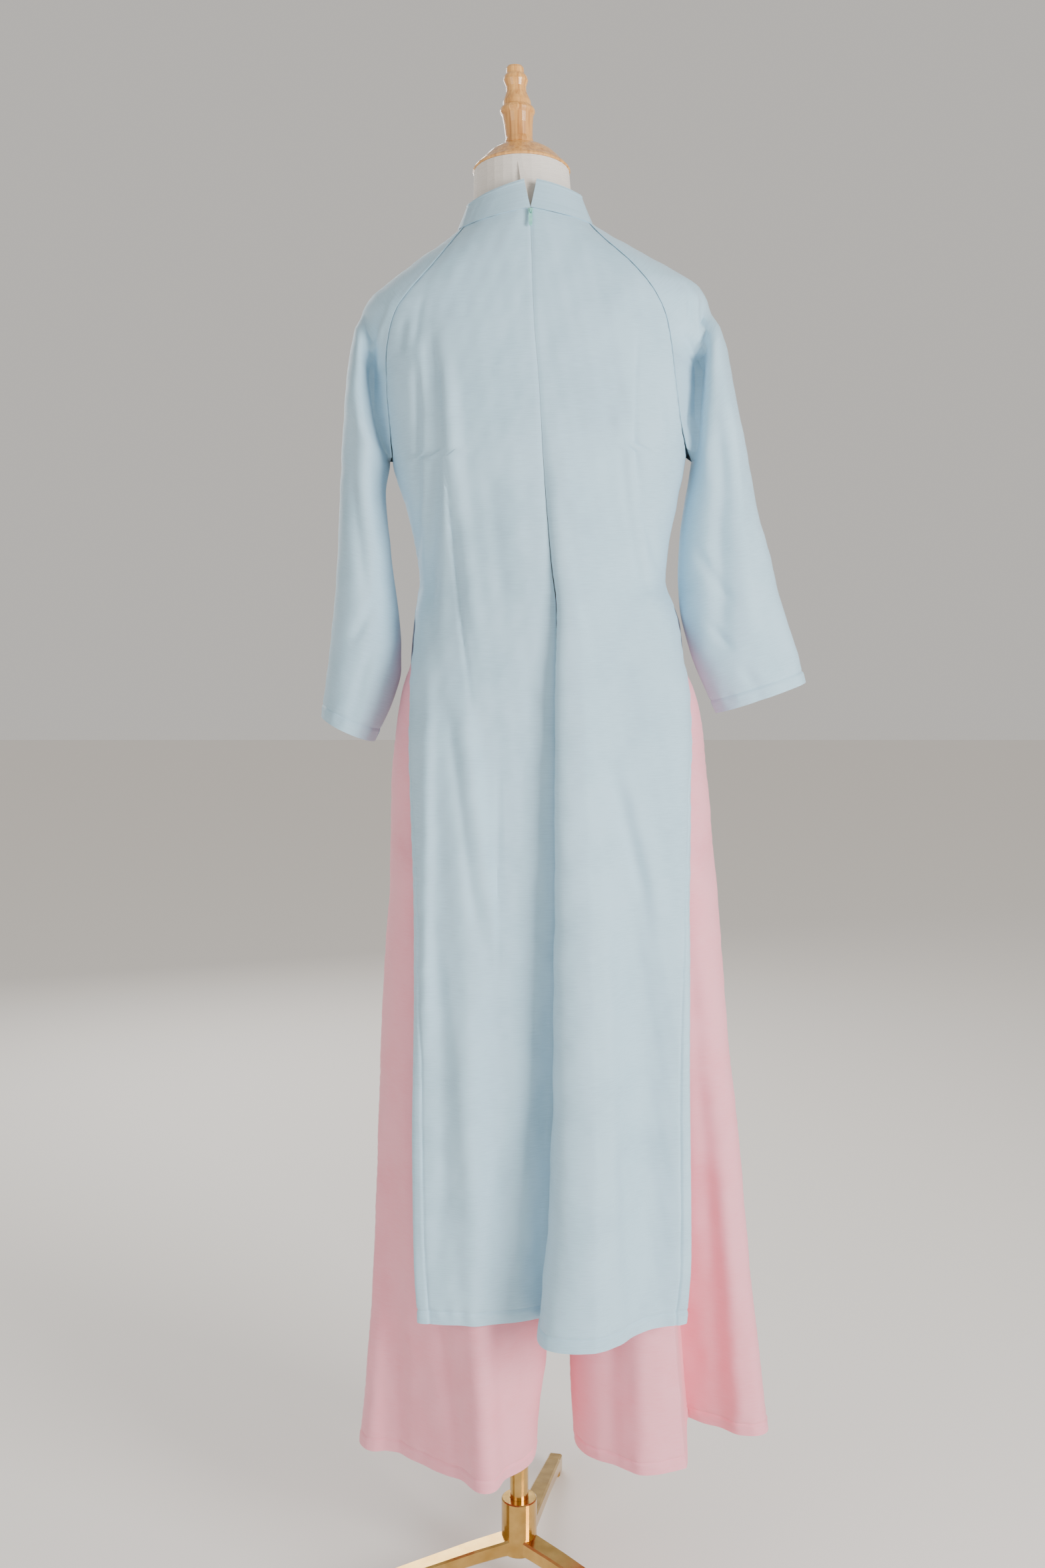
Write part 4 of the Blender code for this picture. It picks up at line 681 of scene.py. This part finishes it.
# The cloth's own unevenness, which dies away near an edge, and how a crease ends
BROAD_RUMPLE, FINE_RUMPLE = 0.055, 0.021
CALM_EDGE = 0.02
CREASE_TAPER = 0.22


def creases(folds, x, height):
    """How far the creases push the cloth out at points of a panel."""
    push = np.zeros_like(x)
    for each in folds:
        line = each["line"]
        low, high = line["height"][0], line["height"][-1]
        taper = CREASE_TAPER * (high - low)
        ends = smooth((height - low) / taper) * smooth((high - height) / taper)
        if low < TUNIC_HEM + 0.012:
            ends = smooth((high - height) / taper)
        across = (x - read(line, "x", height)) / each["width"]
        push += each["depth"] * ends * np.exp(-(across**2))
    return push


def rumple(x, height, size, seed):
    """A gentle unevenness from -1 to 1, with swells about size metres apart."""
    total = np.zeros_like(x)
    for wave in range(6):
        way = 2.4 * wave + seed
        long = size * (0.75 + 0.17 * wave)
        along = math.cos(way) * x + math.sin(way) * height * 0.7
        total += np.sin(along * 2 * math.pi / long + 1.7 * seed + wave * wave)
    return total / 4


def seam_pinch(from_edge, along, seed):
    """A stitched seam's shallow groove beside an edge, with the small puckers it draws up."""
    groove = -SEAM_DEPTH * np.exp(-((from_edge / SEAM_WIDTH) ** 2))
    pucker = np.sin(along * 2 * math.pi / SEAM_PUCKER_RUN + 1.5 * np.sin(along * 61 + seed))
    return groove + SEAM_PUCKER * pucker * np.exp(-(((from_edge - 0.004) / 0.005) ** 2))


def hem_band(from_edge, along, band, seed):
    """A turned hem: a little fuller below its stitch line, with puckers beside the stitches."""
    line = -HEM_DEPTH * np.exp(-(((from_edge - band) / HEM_WIDTH) ** 2))
    fuller = HEM_FULLNESS * smooth((band - from_edge) / 0.002)
    pucker = np.sin(along * 2 * math.pi / HEM_PUCKER_RUN + 1.8 * np.sin(along * 37 + seed))
    near = np.exp(-(((from_edge - band * 0.8) / (band * 0.6)) ** 2))
    return line + fuller + HEM_PUCKER * pucker * near


def grid_normals(points, turned):
    """Unit normals of a grid of points, from its neighbours across and down."""
    run = np.gradient(points, axis=1)
    climb = -np.gradient(points, axis=0)
    found = np.cross(run, climb) * turned
    return found / np.maximum(np.linalg.norm(found, axis=-1, keepdims=True), 1e-12)


def cloth_piece(name, panel, across, down, finish, turned, folds=(), uneven=0.0010, **edges):
    """A thin closed wall of cloth on a panel's surface, with its folds, seams and hems.

    edges says how first and last, the grid's two long sides, are finished: seam, slit, over
    (the upper edge of a lapped seam) or plain. bottom is a hem's height, top how far below
    a collar's edge its stitches run, wall the thickness, and origin the column that the
    flat map is measured from.
    """
    seed = sum(ord(letter) for letter in name) % 17
    grid_across, grid_down = np.meshgrid(across, down)
    base = panel(grid_across, grid_down)
    facing = grid_normals(base, turned)
    steps = np.linalg.norm(np.diff(base, axis=1), axis=-1)
    run = np.concatenate([np.zeros((len(down), 1)), np.cumsum(steps, axis=1)], axis=1)
    to_last = run[:, -1:] - run
    x, height = base[..., 0], base[..., 2]
    calm = smooth((run + 0.002) / CALM_EDGE) * smooth((to_last + 0.002) / CALM_EDGE)
    broad = rumple(x, height, BROAD_RUMPLE, seed)
    fine = rumple(x, height, FINE_RUMPLE, seed + 5)
    push = (creases(folds, x, height) + uneven * (broad + 0.5 * fine)) * calm
    for side, from_edge in (("first", run), ("last", to_last)):
        kind = edges.get(side, "plain")
        if kind == "seam":
            push += seam_pinch(from_edge, grid_down, seed)
        if kind == "over":
            ridge = np.exp(-(((from_edge - OVER_IN) / OVER_WIDTH) ** 2))
            push += OVER_HEIGHT * ridge * (grid_down > ARMPIT)
        if kind == "slit":
            above = grid_down > SLIT_TOP
            pinch = seam_pinch(from_edge, grid_down, seed)
            band = hem_band(from_edge, grid_down, SLIT_BAND, seed)
            push += np.where(above, pinch, band)
    if edges.get("top"):
        from_top = COLLAR_HEIGHT * (1 - grid_down)
        push -= TOP_DEPTH * np.exp(-(((from_top - edges["top"]) / TOP_WIDTH) ** 2))
    if edges.get("bottom"):
        push += hem_band(grid_down - down[-1], run, edges["bottom"], seed)
    outer = base + facing * push[..., None]
    thick = edges.get("wall", WALL)
    inner = outer - grid_normals(outer, turned) * thick
    gap = SEAM_GAP / 2
    for points in (outer, inner):
        for edge, beside in ((0, 1), (-1, -2)):
            step = points[:, beside] - points[:, edge]
            length = np.linalg.norm(step, axis=-1, keepdims=True)
            points[:, edge] += step * gap / np.maximum(length, 1e-9)
    run = run - run[:, [edges.get("origin", len(across) // 2)]]
    return walled(name, outer, inner, run, grid_down, finish)


def walled(name, outer, inner, run, grid_down, finish):
    """A grid extruded into a closed wall, each side laid on its own grid of points."""
    rows, columns = run.shape
    bm = bmesh.new()
    bmesh.ops.create_grid(bm, x_segments=columns - 1, y_segments=rows - 1, size=0.5)
    sheet = list(bm.verts)
    grown = bmesh.ops.extrude_face_region(bm, geom=list(bm.faces), use_keep_orig=True)
    copies = [item for item in grown["geom"] if isinstance(item, bmesh.types.BMVert)]
    layer = bm.loops.layers.uv.new("UVMap")
    flat = {}
    for verts, points in ((sheet, inner), (copies, outer)):
        for vert in verts:
            column = round((vert.co.x + 0.5) * (columns - 1))
            row = round((vert.co.y + 0.5) * (rows - 1))
            flat[vert] = (run[row, column], grid_down[row, column])
            vert.co = points[row, column] + POLE_PLACE
    for face in bm.faces:
        for loop in face.loops:
            loop[layer].uv = flat[loop.vert]
    bmesh.ops.recalc_face_normals(bm, faces=bm.faces)
    if bm.calc_volume(signed=True) < 0:
        bmesh.ops.reverse_faces(bm, faces=bm.faces)
    return finished(name, bm, finish)


def placed(name, data):
    """An object in the scene, for a mesh, a lamp or the camera."""
    made = bpy.data.objects.new(name, data)
    bpy.context.scene.collection.objects.link(made)
    return made


def finished(name, bm, finish, smooth_angle=42.0):
    """A bmesh becomes a named piece with its material, riding on the garment's body."""
    mesh = bpy.data.meshes.new(name)
    bm.to_mesh(mesh)
    bm.free()
    mesh.materials.append(finish)
    mesh.shade_smooth()
    mesh.set_sharp_from_angle(angle=math.radians(smooth_angle))
    piece = placed(name, mesh)
    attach(piece, GARMENT)
    return piece


def node(tree, kind, **inputs):
    """A shader node with some of its inputs set or linked, by name."""
    made = tree.nodes.new(f"ShaderNode{kind}")
    for name, value in inputs.items():
        socket = made.inputs[name.replace("_", " ")]
        if isinstance(value, bpy.types.NodeSocket):
            tree.links.new(value, socket)
        else:
            socket.default_value = value
    return made


def new_group(name, inputs, outputs):
    """An empty node group with named inputs and outputs, and its two end nodes."""
    tree = bpy.data.node_groups.new(name, "ShaderNodeTree")
    for label, kind, value in inputs:
        socket = tree.interface.new_socket(
            label, in_out="INPUT", socket_type=f"NodeSocket{kind}"
        )
        if value is not None:
            socket.default_value = value
    for label, kind in outputs:
        tree.interface.new_socket(label, in_out="OUTPUT", socket_type=f"NodeSocket{kind}")
    return tree, tree.nodes.new("NodeGroupInput"), tree.nodes.new("NodeGroupOutput")


def maths(tree, operation, *values):
    made = tree.nodes.new("ShaderNodeMath")
    made.operation = operation
    for socket, value in zip(made.inputs, values):
        if isinstance(value, bpy.types.NodeSocket):
            tree.links.new(value, socket)
        else:
            socket.default_value = value
    return made.outputs[0]


def weave_group():
    """Plain weave: fine threads both ways and uneven slubs, as a height and a tone."""
    tree, start, end = new_group(
        "weave",
        (
            ("Place", "Vector", None),
            ("Threads", "Float", 2200.0),
            ("Slub", "Float", 0.35),
        ),
        (("Height", "Float"), ("Tone", "Float")),
    )
    place, threads = start.outputs["Place"], start.outputs["Threads"]
    parts = node(tree, "SeparateXYZ", Vector=place)
    runs = []
    for axis in ("X", "Y"):
        turn = maths(tree, "MULTIPLY", parts.outputs[axis], threads)
        runs.append(maths(tree, "SINE", turn))
    threads_height = maths(tree, "MULTIPLY", runs[0], runs[1])
    stretched = node(tree, "Mapping", Vector=place)
    stretched.inputs["Scale"].default_value = (60.0, 900.0, 60.0)
    slub = node(tree, "TexNoise", Vector=stretched.outputs[0], Scale=1.0, Detail=3.0)
    cloud = node(tree, "TexNoise", Vector=place, Scale=14.0, Detail=4.0)
    slub_height = maths(tree, "MULTIPLY", slub.outputs["Fac"], start.outputs["Slub"])
    tree.links.new(maths(tree, "ADD", threads_height, slub_height), end.inputs["Height"])
    both = maths(tree, "ADD", slub_height, maths(tree, "MULTIPLY", cloud.outputs["Fac"], 0.8))
    tree.links.new(both, end.inputs["Tone"])
    return tree


def wear_group():
    """Soft uneven wear and handling on hard parts, as a mask and a fine height."""
    tree, start, end = new_group(
        "wear",
        (
            ("Place", "Vector", None),
            ("Size", "Float", 40.0),
        ),
        (("Mask", "Float"), ("Height", "Float")),
    )
    place = start.outputs["Place"]
    broad = node(tree, "TexNoise", Vector=place, Scale=start.outputs["Size"], Detail=5.0)
    fine = node(tree, "TexNoise", Vector=place, Scale=900.0, Detail=2.0)
    tree.links.new(broad.outputs["Fac"], end.inputs["Mask"])
    tree.links.new(fine.outputs["Fac"], end.inputs["Height"])
    return tree


def new_material(name, **settings):
    made = bpy.data.materials.new(name)
    made.use_nodes = True
    shader = made.node_tree.nodes["Principled BSDF"]
    for label, value in settings.items():
        shader.inputs[label.replace("_", " ")].default_value = value
    return made, made.node_tree, shader


def place_group(tree, group, place, **inputs):
    made = tree.nodes.new("ShaderNodeGroup")
    made.node_tree = group
    tree.links.new(place, made.inputs["Place"])
    for label, value in inputs.items():
        made.inputs[label].default_value = value
    return made


def tint(tree, shader, mask, low, high, dark, light):
    """Colour between a dark and a light tone, where a mask runs from low to high."""
    ramp = tree.nodes.new("ShaderNodeValToRGB")
    ramp.color_ramp.elements[0].position = low
    ramp.color_ramp.elements[0].color = (*dark, 1.0)
    ramp.color_ramp.elements[1].position = high
    ramp.color_ramp.elements[1].color = (*light, 1.0)
    tree.links.new(mask, ramp.inputs["Fac"])
    tree.links.new(ramp.outputs["Color"], shader.inputs["Base Color"])


def bump(tree, shader, height, strength, distance):
    made = node(tree, "Bump", Height=height, Strength=strength, Distance=distance)
    tree.links.new(made.outputs["Normal"], shader.inputs["Normal"])


def cloth_finish(name, group, dark, light, threads, slub, depth, **settings):
    """A woven cloth, laid out on the piece's own flat map in metres."""
    made, tree, shader = new_material(name, **settings)
    flat = node(tree, "UVMap")
    flat.uv_map = "UVMap"
    weave = place_group(tree, group, flat.outputs["UV"], Threads=threads, Slub=slub)
    tint(tree, shader, weave.outputs["Tone"], 0.25, 0.85, dark, light)
    bump(tree, shader, weave.outputs["Height"], 0.55, depth)
    return made


def linen_finish(group):
    """The dress form's woven cover."""
    made, tree, shader = new_material(
        "form_cloth", Roughness=0.88, Sheen_Weight=0.25, Sheen_Roughness=0.5
    )
    place = node(tree, "TexCoord").outputs["Object"]
    turned = node(tree, "Mapping", Vector=place)
    turned.inputs["Rotation"].default_value = (math.radians(90), 0, 0)
    weave = place_group(tree, group, turned.outputs[0], Threads=5200.0, Slub=0.6)
    tint(tree, shader, weave.outputs["Tone"], 0.3, 0.9, (0.72, 0.66, 0.59), (0.90, 0.84, 0.77))
    bump(tree, shader, weave.outputs["Height"], 0.6, 0.00035)
    return made


def wood_finish(group):
    """Clear varnish over pale wood whose grain runs upwards, a little wavy."""
    made, tree, shader = new_material(
        "turned_wood", Roughness=0.38, Coat_Weight=0.65, Coat_Roughness=0.12
    )
    place = node(tree, "TexCoord").outputs["Object"]
    stretched = node(tree, "Mapping", Vector=place)
    stretched.inputs["Scale"].default_value = (260.0, 260.0, 14.0)
    grain = node(
        tree, "TexNoise", Vector=stretched.outputs[0], Scale=1.0, Detail=6.0, Distortion=0.6
    )
    wear = place_group(tree, group, place, Size=30.0)
    worn = maths(tree, "MULTIPLY", wear.outputs["Mask"], 0.35)
    mask = maths(tree, "ADD", grain.outputs["Fac"], worn)
    tint(tree, shader, mask, 0.45, 0.95, (0.50, 0.20, 0.04), (1.0, 0.53, 0.15))
    bump(tree, shader, mask, 0.2, 0.0002)
    return made


def brass_finish(group):
    made, tree, shader = new_material("brass", Metallic=1.0, Coat_Weight=0.2, Coat_Roughness=0.08)
    place = node(tree, "TexCoord").outputs["Object"]
    wear = place_group(tree, group, place, Size=60.0)
    tint(tree, shader, wear.outputs["Mask"], 0.25, 0.8, (0.52, 0.31, 0.08), (0.72, 0.47, 0.15))
    polish = node(tree, "MapRange", Value=wear.outputs["Mask"], To_Min=0.13, To_Max=0.27)
    tree.links.new(polish.outputs[0], shader.inputs["Roughness"])
    bump(tree, shader, wear.outputs["Height"], 0.12, 0.0001)
    return made


def paint_finish(group):
    made, tree, shader = new_material("zip_pull_paint", Roughness=0.35, Coat_Weight=0.4)
    place = node(tree, "TexCoord").outputs["Object"]
    wear = place_group(tree, group, place, Size=220.0)
    tint(tree, shader, wear.outputs["Mask"], 0.3, 0.7, (0.22, 0.60, 0.53), (0.36, 0.76, 0.68))
    return made


def stands_for(solid):
    """The solid is hidden, and the piece is shown in its place."""
    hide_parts(solid)


def to_hem(rows, hem, count):
    """Rows carried on from the last one to the hem, close together for its band."""
    return np.concatenate([rows, np.linspace(rows[-1], hem, count)[1:]])


def dress_tunic(cloth):
    """Back halves, front, sleeves and collar, each laid out on its own flat map."""
    raglan_rows = (
        NECKLINE, 1.571, 1.558, 1.544, 1.530, 1.516, 1.501, 1.485, 1.465, 1.440,
        1.412, 1.384, 1.362, 1.350, 1.342, ARMPIT,
    )
    kept = ((1.342, ARMPIT),)
    rows = finer(raglan_rows + (SLIT_TOP, 0.80, TUNIC_HEM + 0.025), FINE, kept)
    rows = to_hem(rows, TUNIC_HEM, 13)
    for name, side, across, flat, area in (
        ("back_left", 1, LEFT_ACROSS, (0.235, 1.21), 0.220),
        ("back_right", -1, RIGHT_ACROSS, (0.27, 1.21), 0.250),
    ):
        piece = cloth_piece(
            name, lambda a, d, side=side: back_panel(side, a, d), across, rows, cloth, side,
            BACK_CREASES, first="slit", last="seam", bottom=HEM_BAND, origin=-1,
        )
        stands_for(name)
    piece = cloth_piece(
        "front", front_panel, FRONT_ACROSS, rows, cloth, -1,
        FRONT_CREASES, first="slit", last="slit", bottom=HEM_BAND,
    )
    stands_for("front")
    for side, name, wide, area in (
        (1, "sleeve_left", 0.29, 0.138),
        (-1, "sleeve_right", 0.33, 0.150),
    ):
        low = SLEEVES[side]["height"][0]
        tube = to_hem(finer((ARMPIT, low + 0.022), FINE)[1:], low, 12)
        rows_here = np.concatenate([finer(raglan_rows, FINE, kept), tube])
        piece = cloth_piece(
            name, lambda a, d, side=side: sleeve(side, a, d), AROUND, rows_here, cloth, -side,
            SLEEVE_CREASES[side], first="over", last="over", bottom=HEM_BAND,
        )
        stands_for(name)
    around = np.unique(np.concatenate([NECK_RUN / NECK_RUN[-1], np.linspace(0, 1, 60)]))
    collar = cloth_piece(
        "collar", collar_panel, around, np.linspace(0.0, 1.0, 29), cloth, -1,
        uneven=0.0002, wall=COLLAR_WALL, top=0.0022, first="plain", last="plain",
    )
    stands_for("collar")


def stitch_the_neck(thread, linen):
    """The cover's seam up the back of the neck: a felled strip and two rows of stitches."""
    strip = bmesh.new()
    bmesh.ops.create_cube(strip, size=1.0)
    bmesh.ops.scale(strip, verts=strip.verts, vec=(0.0050, 0.0009, 0.060))
    on_the_neck(strip, -0.0005, 1.617, 0.0)
    finished("neck_seam_strip", strip, linen)
    rows = bmesh.new()
    for across in (-0.0018, 0.0018):
        for step in range(16):
            made = bmesh.ops.create_icosphere(rows, subdivisions=1, radius=1.0)["verts"]
            bmesh.ops.scale(rows, verts=made, vec=(0.00035, 0.00030, 0.0012))
            on_the_neck(rows, across - 0.0005, 1.594 + 0.0032 * step, 0.0005, made)
    finished("neck_seam_stitches", rows, thread)


def on_the_neck(bm, across, height, off, verts=None):
    """Moves a mesh to the back of the neck, where its seam leans to the wearer's left."""
    verts = verts or bm.verts
    bmesh.ops.translate(bm, verts=verts, vec=(across, 0.0, height))
    for vert in verts:
        x = vert.co.x + 0.075 * (vert.co.z - 1.617)
        level = np.array(vert.co.z)
        back = float(read(FORM, "back", level))
        half = float(read(FORM, "half", level))
        bulge = back * math.sqrt(1 - (x / half) ** 2)
        vert.co = (x + float(read(FORM, "centre", level)), vert.co.y + bulge + off, vert.co.z)
    bmesh.ops.translate(bm, verts=verts, vec=POLE_PLACE)


def dress_trousers(cloth):
    """Four leg panels and the waistband, each laid out on its own flat map."""
    hips = (1.1503, 1.120, 1.084, 1.036, 0.980, CROTCH_START, CROTCH, TROUSER_HEM + 0.022)
    rows = finer(hips, FINE)
    rows = to_hem(rows, TROUSER_HEM, 12)
    for face, pair in (
        ("back", ((1, "left", 0.362, 0.287), (-1, "right", 0.425, 0.315))),
        ("front", ((1, "left", 0.350, 0.292), (-1, "right", 0.353, 0.294))),
    ):
        for side, name, wide, area in pair:
            turned = side if face == "back" else -side
            across = LEG_ACROSS
            if (face, side) == ("back", -1):
                across = WING_ACROSS
            piece = cloth_piece(
                f"trouser_{face}_{name}",
                lambda a, d, face=face, side=side: leg_panel(face, side, a, d),
                across, rows, cloth, turned, LEG_CREASES[face, side],
                first="seam", last="seam", bottom=HEM_BAND,
            )
            stands_for(f"trouser_{face}_{name}")
    band = cloth_piece(
        "waistband", waistband_panel, np.linspace(0.0006, 0.9994, 121),
        np.linspace(WAISTBAND_TOP, 1.1507, 6), cloth, 1, uneven=0.0002, wall=0.0011,
    )
    stands_for("waistband")


def finish_solids(finishes):
    """Each carried-over solid gets its finish."""
    for name, finish in finishes.items():
        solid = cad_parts[name]
        solid.data.materials.clear()
        solid.data.materials.append(finish)


def light(name, size, power, place, aim, colour):
    lamp = bpy.data.lights.new(name, "AREA")
    lamp.shape = "RECTANGLE"
    lamp.size, lamp.size_y = size
    lamp.energy = power
    lamp.color = colour
    made = placed(name, lamp)
    made.location = place
    way = np.array(aim, float) - np.array(place, float)
    tilt = math.pi / 2 + math.atan2(way[2], math.hypot(way[0], way[1]))
    made.rotation_euler = (tilt, 0.0, math.atan2(-way[0], way[1]))


def set_the_room():
    """Plain pale floor, soft light and the photograph's camera."""
    bm = bmesh.new()
    bmesh.ops.create_grid(bm, x_segments=1, y_segments=1, size=12.0)
    mesh = bpy.data.meshes.new("floor")
    bm.to_mesh(mesh)
    bm.free()
    pale, _, _ = new_material("floor", Base_Color=(0.90, 0.87, 0.83, 1.0), Roughness=0.9)
    mesh.materials.append(pale)
    floor = placed("floor", mesh)
    world = bpy.data.worlds.new("studio")
    world.use_nodes = True
    world.node_tree.nodes["Background"].inputs["Color"].default_value = (0.86, 0.82, 0.77, 1.0)
    world.node_tree.nodes["Background"].inputs["Strength"].default_value = 0.72
    bpy.context.scene.world = world
    aim = (0.0, 0.0, 0.95)
    light("key", (1.2, 1.6), 128.0, (-2.2, 2.1, 1.5), aim, (1.0, 0.99, 0.97))
    light("fill", (1.6, 1.8), 20.0, (2.2, 1.9, 1.2), aim, (0.97, 0.99, 1.0))
    light("behind", (1.6, 1.6), 45.0, (0.9, -2.6, 2.0), aim, (1.0, 0.99, 0.98))

    camera = bpy.data.cameras.new("camera")
    camera.lens = 37.5
    camera.sensor_width = 36.0
    made = placed("camera", camera)
    made.location = POLE_PLACE + np.array([-0.004, 1.86, 1.18])
    made.rotation_euler = (math.radians(90 - 6.4), 0.0, math.pi)
    bpy.context.scene.camera = made


def main():
    weave = weave_group()
    wear = wear_group()
    satin = cloth_finish(
        "tunic_cloth", weave, (0.345, 0.555, 0.690), (0.475, 0.710, 0.860), 7800.0, 0.75, 0.00016,
        Roughness=0.46, Sheen_Weight=0.3, Sheen_Roughness=0.35, Specular_IOR_Level=0.55,
    )
    pink = cloth_finish(
        "trouser_cloth", weave, (0.95, 0.29, 0.37), (1.0, 0.42, 0.51), 7000.0, 0.75, 0.00016,
        Roughness=0.6, Sheen_Weight=0.3, Sheen_Roughness=0.4,
    )
    brass = brass_finish(wear)
    wood = wood_finish(wear)
    mint = paint_finish(wear)
    linen = linen_finish(weave)
    thread, _, _ = new_material("thread", Base_Color=(0.86, 0.84, 0.80, 1.0), Roughness=0.7)
    stitch_the_neck(thread, linen)
    finish_solids({
        "form_body": linen, "neck_cap": wood, "finial": wood,
        "pole": brass, "base": brass, "zip_slider": mint, "zip_pull": mint,
    })
    dress_tunic(satin)
    dress_trousers(pink)
    set_the_room()


main()
